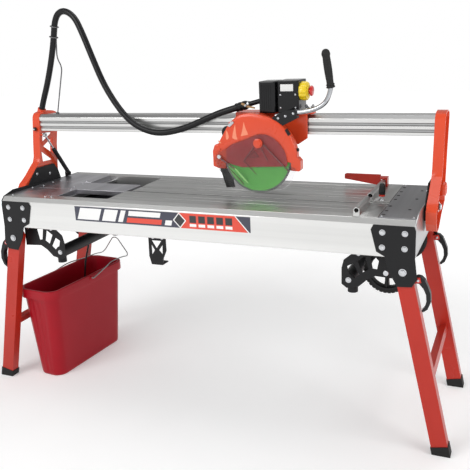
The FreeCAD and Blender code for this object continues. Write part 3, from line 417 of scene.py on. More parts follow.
def turned(profile, place, way, around=32, finish=0, lobes=0, lobe_depth=0.0, loop=False):
    """A surface of revolution, in millimetres: each radius and height of the profile makes a ring about
    an axis through the place. lobes wave the radius in and out around the axis."""
    profile, way = np.array(profile, float), np.array(way, float)
    side = np.cross(way, (0.0, 0.0, 1.0) if abs(way[2]) < 0.9 else (0.0, 1.0, 0.0))
    side /= np.linalg.norm(side)
    angles = np.linspace(0, 2 * np.pi, around, endpoint=False)
    rim = np.cos(angles)[:, None] * side + np.sin(angles)[:, None] * np.cross(way, side)
    wave = 1 + lobe_depth * np.cos(lobes * angles)[None, :, None]
    rings = (profile[:, :1, None] * wave * rim[None] + profile[:, 1:, None] * way + np.array(place, float))
    return skin(rings / 1000, finish=finish, loop=loop)


aluminium = make_finish("extruded aluminium", (0.70, 0.70, 0.69), (0.63, 0.63, 0.62), (0.30, 0.38),
                        grain=1400,
                        depth=0.000014, stretch=(0.02, 1, 1), cloud=30, metal=1.0, worn=(0.75, 0.75, 0.74),
                        wear=0.4)
for beam in ("front_beam", "rear_beam"):
    finished_copy(beam, aluminium, 0.0012)

# ---- band on the front beam ----
# A printed film stuck to the beam: slate blue with plain slanted bars in white and red, a red panel with
# five dark squares, and a diamond between the two.
film_slate, film_white, film_red, film_black = (
    make_finish(name, colour, shade, (0.32, 0.40), grain=300, depth=0.000006, cloud=12, Coat_Weight=0.25,
                Coat_Roughness=0.15)
    for name, colour, shade in (
        ("slate film", (0.030, 0.032, 0.055), (0.036, 0.038, 0.064)),
        ("white film", (0.80, 0.80, 0.79), (0.76, 0.76, 0.75)),
        ("red film", (0.68, 0.055, 0.026), (0.64, 0.050, 0.024)),
        ("black film", (0.014, 0.014, 0.016), (0.018, 0.018, 0.020))))
BAND_LOW, BAND_HIGH = 708.0, 762.0
FILM = (-260.25, -260.0)
PRINT = (-260.45, -260.2)
PRINT_OVER = (-260.6, -260.4)
PRINT_TOP = (-260.75, -260.55)


def leaning(x, low, high, width, lean):
    """A bar with upright thickness and slanted ends."""
    return [(x, low), (x + width, low), (x + width + lean, high), (x + lean, high)]


band = [slab([(-445, BAND_LOW), (250, BAND_LOW), (250, BAND_HIGH), (-445, BAND_HIGH)], *FILM, finish=0)]
for x, width in ((-436, 92), (-330, 56), (-262, 20)):
    band.append(slab(leaning(x, BAND_LOW + 6, BAND_HIGH - 5, width, 16), *PRINT, finish=1))
band.append(slab(leaning(-218, 739, BAND_HIGH - 5, 128, 5), *PRINT, finish=1))
band.append(slab(leaning(-226, 714, 732, 140, 5), *PRINT, finish=2))
band.append(slab(leaning(-72, 714, 732, 26, 5), *PRINT, finish=1))
band.append(slab([(-16, BAND_HIGH), (-36, 735), (-11, BAND_LOW), (240, BAND_LOW), (194, BAND_HIGH)], *PRINT,
                 finish=2))
band.append(slab([(194, BAND_HIGH), (198, BAND_HIGH), (246, BAND_LOW), (241, BAND_LOW)], *PRINT, finish=1))
band.append(slab([(-14, 763), (13, 735), (-11, 707), (-38, 735)], *PRINT_OVER, finish=1))
band.append(slab([(-14, 758), (8, 735), (-11, 712), (-33, 735)], *PRINT_TOP, finish=3))
for i in range(5):
    band += [slab([(26 + 33.5 * i, low), (51 + 33.5 * i, low), (51 + 33.5 * i, high),
                   (26 + 33.5 * i, high)],
                  *PRINT_OVER, finish=finish) for low, high, finish in ((729, 754, 3), (715, 725, 1))]
make_piece("beam_band", band, [film_slate, film_white, film_red, film_black], "frame")

# ---- end plates ----
# A folded sheet closes each end of the table. It is black powder coated at the left, where the hoses are,
# and bare brushed sheet at the right.
black_powder = make_finish("black powder coat", (0.006, 0.006, 0.007), (0.009, 0.009, 0.010), (0.38, 0.50),
                           grain=700, depth=0.00008, cloud=9, worn=(0.10, 0.10, 0.11), wear=0.3,
                           Specular_IOR_Level=0.26)
brushed_sheet = make_finish("brushed sheet", (0.50, 0.50, 0.505), (0.41, 0.41, 0.415), (0.30, 0.42),
                            grain=1100, depth=0.00002, stretch=(1, 0.02, 1), cloud=20, metal=1.0,
                            worn=(0.62, 0.62, 0.62))
finished_copy("left_end_plate", black_powder, 0.0007)
finished_copy("right_end_plate", brushed_sheet, 0.0007)

# ---- tray and joists ----
# A plastic water tray with a drain spout lies on the beams below the deck, and folded joists over it
# carry the planks.
tray_grey = make_finish("tray plastic", (0.045, 0.046, 0.050), (0.060, 0.062, 0.066), (0.4, 0.55),
                        grain=420, depth=0.00006, cloud=7)
finished_copy("water_tray", tray_grey, 0.0006)
finished_copy("deck_joists", brushed_sheet, 0.0006)

# ---- deck ----
# Extruded planks with drain grooves run along the table to the right of the blade's start, and folded
# plates lie at the left. Countersunk screws hold the plates, and slow water stains dull the metal.
deck_metal = make_finish("deck aluminium", (0.66, 0.66, 0.65), (0.53, 0.53, 0.52), (0.26, 0.40), grain=1300,
                         depth=0.00002, stretch=(0.015, 1, 1), cloud=22, metal=1.0, worn=(0.66, 0.66, 0.65),
                         wear=0.5)
plate_metal = make_finish("left plate sheet", (0.64, 0.63, 0.67), (0.50, 0.495, 0.525), (0.28, 0.42),
                          grain=1200,
                          depth=0.00002, stretch=(1, 0.02, 1), cloud=18, metal=1.0, worn=(0.6, 0.6, 0.6),
                          wear=0.5)
cover_grey = make_finish("cover plate sheet", (0.30, 0.30, 0.31), (0.24, 0.24, 0.25), (0.30, 0.44),
                         grain=900,
                         depth=0.00002, stretch=(1, 0.03, 1), cloud=16, metal=0.9, worn=(0.5, 0.5, 0.5),
                         wear=0.5)
finished_copy("deck_planks", deck_metal, 0.0005)
finished_copy("left_deck", plate_metal, 0.0007)
finished_copy("right_cover_plate", cover_grey, 0.0006)
zinc = make_finish("bright zinc", (0.62, 0.63, 0.65), (0.50, 0.51, 0.53), (0.2, 0.32), grain=400,
                   depth=0.00002, metal=1.0, cloud=60)
# near-black for the holes in the cover plate: painted shade
hole_painted_shade = make_finish("hole painted shade", (0.006, 0.006, 0.007), (0.010, 0.010, 0.011), (0.5, 0.6), grain=600)


def screw_head(x, y, z, way, radius, finish=0, drive=True):
    """A low domed head on a washer, with a round sunk drive, along one direction."""
    profile = [(radius * 1.25, 0), (radius * 1.25, radius * 0.12), (radius, radius * 0.16),
               (radius * 0.96, radius * 0.36), (radius * 0.75, radius * 0.56),
               (radius * 0.45, radius * 0.64)]
    profile += [(radius * 0.40, radius * 0.60), (radius * 0.36, radius * 0.25),
                (0.05, radius * 0.22)] if drive \
        else [(0.05, radius * 0.68)]
    return turned(profile, (x, y, z), way, 20, finish)


DECK_TOP = 781.0
UP, FRONTWARD, BACKWARD = (0, 0, 1), (0, -1, 0), (0, 1, 0)
deck_screws = [screw_head(x, y, DECK_TOP, UP, 3.6) for x, y in
               ((-769, -90), (-749, -45), (-752, 23), (-595, 16), (-596, -45), (-604, -222), (-575, -222),
                (-758, -222), (-764, 222), (-606, 222), (-610, 62), (-740, 62), (-575, -96))]
COVER_TOP = 784.0
for x in (674, 771):
    deck_screws += [screw_head(x, y, COVER_TOP, UP, 3.6) for y in (-232, 232)]
# rows of black discs on the cover plate stand for its holes: painted shade
for y in (-210, -160, -96, 0, 60, 120, 190):
    deck_screws.append(turned([(6, 0), (6, 0.5), (4.6, 0.7), (4.2, 0.3), (0.05, 0.25)], (676, y, COVER_TOP),
                              UP, 20, 1))
for y in (-130, 20, 150):
    deck_screws.append(turned([(5, 0), (5, 0.5), (3.8, 0.7), (3.4, 0.3), (0.05, 0.25)], (744, y, COVER_TOP),
                              UP, 20, 1))
make_piece("deck_screws", deck_screws, [zinc, hole_painted_shade], "frame")

# ---- fence ----
# An aluminium rip fence in two lengths, with a round hollow rib to lay the tile against. A black clamp
# knob holds it, and a red arm slides along it as a side stop.
fence_metal = make_finish("fence aluminium", (0.56, 0.56, 0.55), (0.47, 0.47, 0.46), (0.28, 0.38),
                          grain=1300, depth=0.000015, stretch=(1, 0.02, 1), cloud=28, metal=1.0,
                          worn=(0.72, 0.72, 0.71))
finished_copy("fence", fence_metal, 0.0006)
black_plastic = make_finish("black plastic", (0.006, 0.006, 0.007), (0.010, 0.010, 0.011), (0.28, 0.40),
                            grain=1100, depth=0.00005, Specular_IOR_Level=0.28)
red_powder = make_finish("red powder coat", (0.46, 0.024, 0.012), (0.41, 0.020, 0.010), (0.26, 0.36),
                         grain=170,
                         depth=0.00010, cloud=5, worn=(0.66, 0.12, 0.08), wear=0.5, Coat_Weight=0.12,
                         Coat_Roughness=0.14, Specular_IOR_Level=0.3)
grip_low, grip_high = box_mm("fence_clamp_knob")
grip_seat = (*((grip_low + grip_high) / 2)[:2], COVER_TOP)
make_piece("fence_knob", [
    turned([(9.5, 0), (9.5, 2), (6.2, 2.6), (6.2, 9), (8, 10), (8, 12)], grip_seat, UP, 32, 1),
    turned([(8, 11.8), (10.4, 12.4), (10.6, 17), (9.6, 18)], grip_seat, UP, 40, 2),
    turned([(9.4, 17.8), (10.8, 20), (10.9, 30), (9.6, 46), (8.2, 53), (6.4, 55.5), (3, 56), (0.05, 56)],
           grip_seat, UP, 48, 0, lobes=8, lobe_depth=0.05)],
    [black_plastic, zinc, red_powder], "fence_clamp_knob", ["fence_clamp_knob"])
finished_copy("side_stop", red_powder, 0.0012)

# ---- leg brackets ----
# A black plate bolted to the beam at each corner, with a larger bolt below that the leg folds on. The
# heads are bright zinc and lie on washers.
finished_copy("leg_brackets", black_powder, 0.0009)
BRACKET_FACE, LEG_BACK = 264.0, 223.0
PIVOT = (747.0, 618.5)


def hex_bolt(x, y, z, way, radius, finish=0):
    """A washer and a six-sided head whose top is turned to a dome."""
    washer = turned([(radius * 1.35, 0), (radius * 1.35, 1.0), (radius * 1.25, 1.3), (radius * 0.9, 1.3)],
                    (x, y, z), way, 32, finish)
    head = turned([(radius, 1.0), (radius, radius * 0.42), (radius * 0.93, radius * 0.52),
                   (radius * 0.6, radius * 0.60), (0.05, radius * 0.62)], (x, y, z), way, 36, finish,
                  lobes=6, lobe_depth=0.045)
    return [washer, head]


bolts = []
for side in (1, -1):
    for turn in (1, -1):
        way = (0, turn, 0)
        for x in (683.0, 751.0):
            for z in (742.0, 694.0):
                bolts += hex_bolt(side * x, turn * BRACKET_FACE, z, way, 7.0)
        bolts += hex_bolt(side * PIVOT[0], turn * BRACKET_FACE, PIVOT[1], way, 9.0)
        bolts.append(turned([(8, 0), (8, BRACKET_FACE - LEG_BACK + 4)],
                            (side * PIVOT[0], turn * (LEG_BACK - 4), PIVOT[1]), way, 32))
make_piece("corner_bolts", bolts, [zinc], "frame", ["bracket_bolts"])

# ---- legs ----
# Two rectangular steel tubes at each end, rounded where they turn on their bolts and joined by a crossbar.
# They are powder coated red, chipped to lighter paint at the edges, and stand in black rubber feet.
foot_rubber = make_finish("foot rubber", (0.010, 0.010, 0.010), (0.017, 0.017, 0.017), (0.55, 0.7),
                          grain=500, depth=0.00010, cloud=12, Specular_IOR_Level=0.25)
for end in ("left", "right"):
    finished_copy(f"{end}_legs", red_powder, 0.0022, steps=3)
    finished_copy(f"{end}_feet", foot_rubber, 0.0018, steps=3)

# ---- cam levers ----
# A curved black lever turns on a pin between two ears on each leg. The pin has a red hub cap and a
# bright screw at each side.
cap_red = make_finish("cap red", (0.60, 0.03, 0.02), (0.52, 0.026, 0.018), (0.25, 0.35), grain=400,
                      depth=0.00003)
EAR_FACES = ((255.0, 1), (227.0, -1))
SPLAY = math.radians(12.6)
hub_x = PIVOT[0] + 34 * math.sin(SPLAY) + 39.5 * math.cos(SPLAY)
hub_z = PIVOT[1] - 34 * math.cos(SPLAY) + 39.5 * math.sin(SPLAY)
for side, end in ((-1, "left"), (1, "right")):
    caps = []
    for row, turn in (("front", -1), ("rear", 1)):
        finished_copy(f"{row}_{end}_lever", black_plastic, 0.0025, steps=3)
        for face, out_way in EAR_FACES:
            place, way = (side * hub_x, turn * face, hub_z), (0, turn * out_way, 0)
            caps.append(turned([(7.5, 0), (7.5, 1.2), (6.6, 1.8), (4, 1.8)], place, way, 28, 0))
            caps.append(turned([(4.2, 1.2), (4.1, 2.6), (3, 3.2), (0.05, 3.3)], place, way, 24, 1))
    make_piece(f"{end}_hub_caps", caps, [cap_red, zinc], f"{end}_stand")

# ---- truss brackets ----
# Pairs of latticed black plates hang from the beams, joined by a cross tube with short rubber-capped
# feet. The wheels' axle runs through the right pair.
finished_copy("truss_brackets", black_powder, 0.0009)
finished_copy("cross_tubes", black_powder, 0.0012)
finished_copy("wheel_axle", zinc, 0.0010)
truss_bolts = []
for turn in (1, -1):
    for x, z, radius in ((568, 560, 7), (-568, 560, 7), (600, 652, 5), (-600, 652, 5), (710, 652, 5),
                         (-710, 652, 5)):
        truss_bolts += hex_bolt(x, turn * 217.0, z, (0, turn, 0), radius)
make_piece("truss_bolts", truss_bolts, [zinc], "frame")

# ---- wheels ----
# Two transport wheels: a moulded black rim with five spokes and a hub, and a rubber tyre with cross
# treads and a groove around the middle.
wheel_black = make_finish("wheel plastic", (0.008, 0.008, 0.009), (0.013, 0.013, 0.014), (0.36, 0.48),
                          grain=900, depth=0.00005, cloud=10, Specular_IOR_Level=0.25)
tyre_black = make_finish("tyre rubber", (0.008, 0.008, 0.008), (0.015, 0.014, 0.013), (0.55, 0.75),
                         grain=420, depth=0.00012, cloud=9, Specular_IOR_Level=0.25)
WHEEL_CENTRE = np.array((688.0, 0.0, 594.0))
RIM_RADIUS, TREADS = 64.0, 34


def spoked(centre, angle, shape):
    """A flat shape in X and Z, drawn along a radius and across it, and turned about a centre."""
    along = np.array((math.cos(angle), math.sin(angle)))
    across = np.array((-math.sin(angle), math.cos(angle)))
    return [centre + a * along + b * across for a, b in shape]


def tyre(y0, y1):
    """Rings around the wheel: a rounded cross-section whose crown drops between the treads, each tread
    slanting to the middle groove."""
    across = np.array([(-1, 0.02), (-1, 0.35), (-0.96, 0.62), (-0.86, 0.86), (-0.70, 0.97), (-0.30, 1.0),
                       (-0.10, 1.0), (-0.05, 0.80), (0.05, 0.80), (0.10, 1.0), (0.30, 1.0), (0.70, 0.97),
                       (0.86, 0.86), (0.96, 0.62), (1, 0.35), (1, 0.02)])
    angles = np.linspace(0, 2 * np.pi, TREADS * 8, endpoint=False)[:, None]
    slant = angles + 0.10 * np.abs(across[None, :, 0])
    between = (np.cos(slant * TREADS) > 0.45) * (across[None, :, 1] > 0.6)
    radius = RIM_RADIUS + 12.0 * across[None, :, 1] - 2.6 * between
    y = (y0 + y1) / 2 + (y1 - y0) / 2 * across[None, :, 0] + 0 * angles
    points = np.stack([WHEEL_CENTRE[0] + radius * np.cos(angles), y,
                       WHEEL_CENTRE[2] + radius * np.sin(angles)], -1)
    return skin(points / 1000, finish=1, loop=True)


def wheel_skins(y0, y1):
    """The rim, the hub with its bore, five ribbed spokes and the tyre, between two Ys."""
    centre, way, wide = (WHEEL_CENTRE[0], y0, WHEEL_CENTRE[2]), (0, 1, 0), y1 - y0
    skins = [turned([(64, 0.5), (63.6, 0), (57, 0), (56, 1.5), (54.5, 11), (54.5, wide - 11),
                     (56, wide - 1.5),
                     (57, wide), (63.6, wide), (64, wide - 0.5)], centre, way, 96, loop=True),
             turned([(9.1, 0.6), (10, 0), (19, 0), (20, 1), (20, wide - 1), (19, wide), (10, wide),
                     (9.1, wide - 0.6)], centre, way, 64, loop=True)]
    for spoke in range(5):
        angle, hub = math.radians(72 * spoke - 20), WHEEL_CENTRE[[0, 2]]
        web = [(17, 6.5), (36, 6.0), (55.5, 8.5), (55.5, -8.5), (36, -6.0), (17, -6.5)]
        skins.append(slab(spoked(hub, angle, web), y0 + 9, y1 - 9))
        ridge = [(17, 2), (55.5, 2), (55.5, -2), (17, -2)]
        skins.append(slab(spoked(hub, angle, ridge), y0 + 4, y1 - 4))
    return skins + [tyre(y0, y1)]


for row, (y0, y1) in (("front", (-198.0, -164.0)), ("rear", (164.0, 198.0))):
    make_piece(f"{row}_wheel_and_tyre", wheel_skins(y0, y1), [wheel_black, tyre_black], f"{row}_wheel",
                       [f"{row}_wheel"])

# ---- leg catch ----
# A latticed black bracket under the front beam, with a bent lip, that holds the folded leg.
finished_copy("leg_catch", black_powder, 0.0007)
make_piece("catch_bolts",
           [skins for x in (-150, -112) for skins in hex_bolt(x, -217.0, 652, FRONTWARD, 4.5)],
           [zinc], "frame")

# ---- towers ----
# Cast aluminium arms with a C section and a lattice web carry the rail. They are painted orange-red and
# tilt on a pin through a black gusset at each end of the table.
orange_paint = make_finish("orange-red paint", (0.66, 0.064, 0.019), (0.60, 0.055, 0.017), (0.20, 0.30),
                           grain=130,
                           depth=0.00008, cloud=6, worn=(0.80, 0.16, 0.08), wear=0.55, Coat_Weight=0.25,
                           Coat_Roughness=0.08, Specular_IOR_Level=0.35)
for node in ("left_tower", "right_tower"):
    finished_copy(node, orange_paint, 0.0030, steps=3, limit=26)
finished_copy("tilt_hinges", black_powder, 0.0009)
tower_bolts = []
for side in (1, -1):
    inward = (-side, 0, 0)
    for y, z, radius in ((-20, 757, 5.0), (40, 757, 5.0), (98, 757, 5.0), (48, 814, 4.5), (-34, 826, 4.5)):
        tower_bolts += hex_bolt(side * 784.0, y, z, inward, radius)
    tower_bolts += hex_bolt(side * 828.0, -60, 781, (side, 0, 0), 9.0)
make_piece("gusset_bolts", tower_bolts, [zinc], "frame")
make_piece("left_tower_stop", [
    turned([(5, 0), (5, 4), (7.5, 4.5), (8, 9), (7, 12), (4, 13), (0.05, 13.2)], (-808, 24, 1004),
           FRONTWARD, 32, 0, lobes=6, lobe_depth=0.06),
    turned([(3.8, 12.6), (3.6, 15), (0.05, 15.4)], (-808, 24, 1004), FRONTWARD, 24, 1),
    turned([(6.0, -1), (6.0, 2.5), (5, 3.5), (0.05, 3.6)], (-808, -113, 770), FRONTWARD, 28, 1)],
    [black_plastic, zinc], "bridge")

# the tilt knob: a lobed hand wheel with a sunk middle, moulded in the same colour
knob_low, knob_high = box_mm("tilt_knob")
knob_seat = (knob_low[0], (knob_low[1] + knob_high[1]) / 2, (knob_low[2] + knob_high[2]) / 2)
knob_long = knob_high[0] - knob_low[0]
make_piece("tilt_knob_wheel", [turned(
    [(8, 0), (8, knob_long - 27), (12, knob_long - 26), (21, knob_long - 25), (22.6, knob_long - 22),
     (22.9, knob_long - 12), (22.6, knob_long - 4), (20.5, knob_long - 1), (15, knob_long),
     (13.5, knob_long - 2),
     (0.05, knob_long - 2.6)], knob_seat, (1, 0, 0), 96, 0, lobes=8, lobe_depth=0.035)],
    [orange_paint], "tilt_knob", ["tilt_knob"])

# ---- rail ----
# An extruded aluminium box section between the towers. Its front has two shallow channels with sloped
# sides, and its top front edge is chamfered. The channels and the chamfer are painted a darker grey:
# painted shade.


def per_face(piece, what):
    """One vector for each face of a piece: its middle, center, or its normal."""
    values = np.zeros(len(piece.data.polygons) * 3)
    piece.data.polygons.foreach_get(what, values)
    return values.reshape(-1, 3)


rail_metal = make_finish("rail aluminium", (0.72, 0.72, 0.71), (0.65, 0.65, 0.64), (0.24, 0.32), grain=1400,
                         depth=0.000012, stretch=(0.02, 1, 1), cloud=26, metal=1.0)
# a darker copy of the rail metal: painted shade for the channels and the chamfer
rail_painted_shade = make_finish("rail channel painted shade", (0.42, 0.42, 0.42), (0.36, 0.36, 0.36), (0.32, 0.42), grain=1400,
                         depth=0.000012, stretch=(0.02, 1, 1), cloud=26, metal=1.0)
rail_low, rail_high = box_mm("rail")
front, back, bottom, top = rail_low[1], rail_high[1], rail_low[2], rail_high[2]
rail_profile = [(front + 1, bottom), (front, bottom + 1), (front, bottom + 10),
                (front + 3.5, bottom + 12.5),
                (front + 3.5, bottom + 18), (front, bottom + 21), (front, bottom + 31),
                (front + 4, bottom + 34), (front + 4, bottom + 39), (front, bottom + 42), (front, top - 13),
                (front + 0.5, top - 11.5),
                (front + 11.5, top - 0.5), (front + 13, top), (back - 1, top), (back, top - 1),
                (back, top - 24),
                (back - 3, top - 27), (back - 3, bottom + 27), (back, bottom + 24), (back, bottom + 1),
                (back - 1, bottom)]
rail_ends = np.array([[(x, y, z) for y, z in rail_profile] for x in np.linspace(rail_low[0], rail_high[0],
                                                                                9)])
points, quads, _ = skin(rail_ends / 1000)
rail = make_piece("rail_extrusion", [(points, quads, 0)], [rail_metal, rail_painted_shade], "bridge", ["rail"],
                  sharp=12)
x, y, z = per_face(rail, "center").T * 1000
# the faces in the channels and on the chamfer take the painted shade
sunk = (y > front + 0.8) & (y < front + 7) & (z > bottom + 2) & (z < top - 14)
chamfer = (y > front + 1) & (y < front + 12.5) & (z > top - 12)
rail.data.polygons.foreach_set("material_index", (sunk | chamfer).astype(np.int32))

# ---- hose mast ----
# A thin sprung wire stands in a socket on the rail and carries the hose in two rings.
wire_grey = make_finish("mast wire", (0.10, 0.10, 0.105), (0.16, 0.16, 0.165), (0.3, 0.45), grain=600,
                        metal=0.8)
finished_copy("hose_mast", wire_grey, 0)

# ---- gas strut ----
# A black gas spring with a bright rod helps the bridge up.
chrome = make_finish("bright chrome", (0.48, 0.49, 0.51), (0.40, 0.41, 0.43), (0.05, 0.12), grain=260,
                     depth=0.000008, metal=1.0)
finished_copy("strut_tube", black_plastic, 0.0008)
finished_copy("strut_rod", chrome, 0.0006)

# ---- carriage ----
# A painted steel saddle folded over the rail runs on nylon pads. A wing screw locks it.
finished_copy("saddle", orange_paint, 0.0016, steps=3)
nylon = make_finish("nylon", (0.55, 0.54, 0.50), (0.48, 0.47, 0.43), (0.4, 0.5), grain=500, depth=0.00003,
                    Subsurface_Weight=0.1)
finished_copy("saddle_pads", nylon, 0.0008)
wing_low, wing_high = box_mm("saddle_lock_screw")
wing_x, wing_y, wing_z = (wing_low[0] + wing_high[0]) / 2, (wing_low[1] + wing_high[1]) / 2, wing_low[2]
wing_shape = [(-3, 8), (3, 8), (7, 10), (15, 13), (17, 17), (16.5, 23), (13, 26), (9, 25), (6, 19), (0, 15),
              (-6, 19), (-9, 25), (-13, 26), (-16.5, 23), (-17, 17), (-15, 13), (-7, 10)]
make_piece("wing_screw", [
    turned([(7, 0), (7, 2), (5.2, 3), (5.2, 8), (6, 11), (5, 15), (0.05, 15.5)], (wing_x, wing_y, wing_z),
           UP, 32),
    slab([(wing_x + a, wing_z + b) for a, b in wing_shape], wing_y - 1.6, wing_y + 1.6)],
    [zinc], "saddle_lock_screw", ["saddle_lock_screw"])

# the hose's clamp on the saddle: a steel band round the sleeve with a brass-coloured wing screw
brass = make_finish("clamp brass", (0.42, 0.26, 0.13), (0.34, 0.21, 0.11), (0.25, 0.35), grain=400,
                    depth=0.00003, metal=1.0)
clamp_place = HOSE_ROUTE[-1] * 1000 + sleeve_way * 50
make_piece("sleeve_clamp", [
    turned([(9.2, -4), (11.6, -4), (11.9, -3), (11.9, 3), (11.6, 4), (9.2, 4)], clamp_place, sleeve_way, 40,
           0),
    slab([(clamp_place[0] - 22, clamp_place[2] + 2), (clamp_place[0] + 2, clamp_place[2] - 9),
          (clamp_place[0] + 30, clamp_place[2] - 14), (clamp_place[0] + 31, clamp_place[2] - 9),
          (clamp_place[0] + 4, clamp_place[2] - 2), (clamp_place[0] - 18, clamp_place[2] + 8)], -12, -9, 1),
    turned([(4.5, 0), (4.5, 8), (3.4, 9), (0.05, 9.2)], (clamp_place[0] - 2, -9, clamp_place[2] - 2),
           FRONTWARD, 6, 0),
    turned([(3.2, 0), (3.2, 19), (0.05, 19.2)], (clamp_place[0] - 2, -4, clamp_place[2] - 2), FRONTWARD, 24,
           0)],
    [zinc, brass], "carriage")

# ---- switch gear ----
# Two black boxes on the saddle hold the capacitor and the switch. The switch box has a blank white label,
# cover screws, and a yellow stop housing with a red mushroom button on its right.
gloss_black = make_finish("glossy black plastic", (0.0045, 0.0045, 0.0055), (0.007, 0.007, 0.008),
                          (0.10, 0.20),
                          grain=260, depth=0.00004, cloud=12, Coat_Weight=0.12, Coat_Roughness=0.05,
                          Specular_IOR_Level=0.26)
finished_copy("capacitor_box", gloss_black, 0.0040, steps=4)
finished_copy("switch_box", gloss_black, 0.0030, steps=4)
label_white = make_finish("label paper", (0.70, 0.70, 0.69), (0.64, 0.64, 0.63), (0.4, 0.5), grain=500,
                          depth=0.000008)
switch_trim = [slab([(279, 1148), (325, 1148), (325, 1171), (279, 1171)], -12.5, -11.8, 1),
               slab([(273, 1086), (339, 1086), (339, 1142), (273, 1142)], -13.4, -11.5, 0),
               slab([(273, 1176), (339, 1176), (339, 1180), (273, 1180)], -13.4, -11.5, 0)]
for x in (279, 333):
    switch_trim += [screw_head(x, -13.3, z, FRONTWARD, 2.4, 2) for z in (1092, 1136)]
for x, width in ((208, 3), (216, 3), (224, 3), (232, 3), (240, 3)):
    switch_trim.append(slab([(x, 1086), (x + width, 1086), (x + width, 1170), (x, 1170)], -13.2, -11.5, 0))
make_piece("switch_trim", switch_trim, [gloss_black, label_white, zinc], "carriage")
stop_yellow = make_finish("stop yellow", (0.83, 0.62, 0.012), (0.78, 0.56, 0.010), (0.22, 0.32), grain=300,
                          depth=0.00004, Coat_Weight=0.2)
button_red = make_finish("button red", (0.62, 0.018, 0.015), (0.56, 0.016, 0.013), (0.15, 0.22), grain=200,
                         depth=0.00002, Coat_Weight=0.4)
stop_low, stop_high = box_mm("stop_button_housing")
stop_y, stop_z = (stop_low[1] + stop_high[1]) / 2 - 2, (stop_low[2] + stop_high[2]) / 2 - 2
make_piece("stop_housing", [turned(
    [(11.5, 6), (11.5, 30), (19, 30), (22, 26), (28, 25.5), (30.5, 22), (31, 12), (31, 6), (29.5, 0),
     (12, 0)],
    (stop_low[0], stop_y, stop_z), (1, 0, 0), 96, 0, lobes=12, lobe_depth=0.035, loop=True)],
    [stop_yellow], "carriage", ["stop_button_housing"], sharp=40)
button_low, button_high = box_mm("stop_button")
button_long = button_high[0] - button_low[0]
make_piece("stop_mushroom", [turned(
    [(11, 0), (11, button_long - 10), (13, button_long - 9), (16.5, button_long - 9),
     (18, button_long - 7.5),
     (17.8, button_long - 5), (15.5, button_long - 2), (10, button_long - 0.4), (0.05, button_long)],
    (button_low[0], stop_y, stop_z), (1, 0, 0), 64)],
    [button_red], "stop_button", ["stop_button"])

# ---- head casting and motor ----
# A cast gear case swings on the head's pivot. The motor behind it is a black drum with cooling fins and
# a vented end cap.
finished_copy("head_casting", black_powder, 0.0020, steps=3)
motor_low, motor_high = box_mm("motor")
motor_seat = ((motor_low[0] + motor_high[0]) / 2, motor_low[1], (motor_low[2] + motor_high[2]) / 2)
motor_long = motor_high[1] - motor_low[1]
motor_skins = [turned([(58, 0), (61.5, 1), (62, 3), (62, 9), (60, 11), (56, 12), (56, motor_long - 36),
                       (60, motor_long - 35), (61.8, motor_long - 33), (61.8, motor_long - 8),
                       (58, motor_long - 2), (52, motor_long), (48, motor_long), (47, motor_long - 3),
                       (20, motor_long - 3), (19, motor_long - 1), (0.05, motor_long - 1)],
                      motor_seat, BACKWARD, 96)]
FINS = 36
for fin in range(FINS):
    ring = spoked(np.array(motor_seat)[[0, 2]], 2 * math.pi * fin / FINS,
                  [(55, 1.3), (61.4, 0.9), (61.4, -0.9), (55, -1.3)])
    motor_skins.append(slab(ring, motor_seat[1] + 11.5, motor_seat[1] + motor_long - 35.5))
make_piece("motor_drum", motor_skins, [black_powder], "head", ["motor"])

# ---- blade housing ----
# A cast cover, painted like the towers: a crowned arch over the blade, wider at the hose's side, with
# raised vanes, a recessed panel inside it painted a darker red as painted shade, a back plate, a hinge
# ear and a stop block.
CENTRE = np.array((207.0, 925.0))


def arch_inner(turn):
    """Radius of the arch's inner edge at an angle from +X towards +Z, in degrees."""
    return np.interp(turn, (-8, 10, 27, 46, 65, 80, 104, 122, 146, 168),
                     (110, 106, 98, 93, 88.6, 82.4, 73, 72, 88.6, 124))


def arch_outer(turn):
    """Radius of the arch's outer edge at an angle: round, but swollen towards the hose's side."""
    return np.interp(turn, (-8, 62, 84, 100, 112, 128, 146, 158, 168),
                     (146, 146, 148, 156, 162, 157, 150, 152, 158))


def polar(radius, turn):
    """X and Z, in millimetres, of a radius and an angle in degrees about the blade's centre."""
    turn = np.radians(turn)
    return np.stack([CENTRE[0] + radius * np.cos(turn), CENTRE[1] + radius * np.sin(turn)], -1)


def rounded_knots(values, turns):
    """The values smoothed with a short moving average, so that no knot shows."""
    window = np.ones(9) / 9
    return np.convolve(np.pad(values, 4, mode="edge"), window, mode="valid")


turns = np.linspace(-6, 167, 116)
inner, outer = rounded_knots(arch_inner(turns), turns), rounded_knots(arch_outer(turns), turns)
section = [(0, 0.0, -66.8), (0, 0.0, -69.6), (0, 0.8, -70.4), (0, 3.0, -70.8), (0.12, 0.0, -71.6),
           (0.3, 0, -72.2),
           (0.5, 0, -72.4), (0.7, 0, -72.1), (0.85, 0, -71.2), (1, -3.4, -69.8), (1, -1.6, -68.2),
           (1, -0.5, -66), (1, 0.0, -63), (1, 0.0, -48), (1, 0.0, -42.0), (1, -0.8, -40.2), (1, -3.0, -40.2),
           (1, -3.2, -62), (1, -5.0, -66.2), (0.6, 0.0, -68.6), (0.2, 0, -68.0), (0, 3.0, -66.8)]
rows = [np.column_stack([polar(inner + share * (outer - inner) + extra, turns), np.full(len(turns), y)])
        for share, extra, y in section]
arch = np.stack(rows, axis=1)[:, :, [0, 2, 1]] / 1000
housing = [skin(arch, finish=0)]

# the back plate: a ring about the shaft, cut level below
around_all = np.linspace(0, 360, 96, endpoint=False)
low_cut = np.where(np.sin(np.radians(around_all)) < -0.05,
                   46 / np.maximum(0.05, -np.sin(np.radians(around_all))), 999)
plate_edge = np.minimum(143.5, low_cut)
ring_rows = [np.column_stack([polar(radius, around_all), np.full(96, y)])[:, [0, 2, 1]] / 1000
             for radius, y in ((np.full(96, 38.0), -43), (plate_edge, -43), (plate_edge, -40.2),
                               (np.full(96, 38.0), -40.2))]
housing.append(skin(np.stack(ring_rows), finish=0, loop=True))
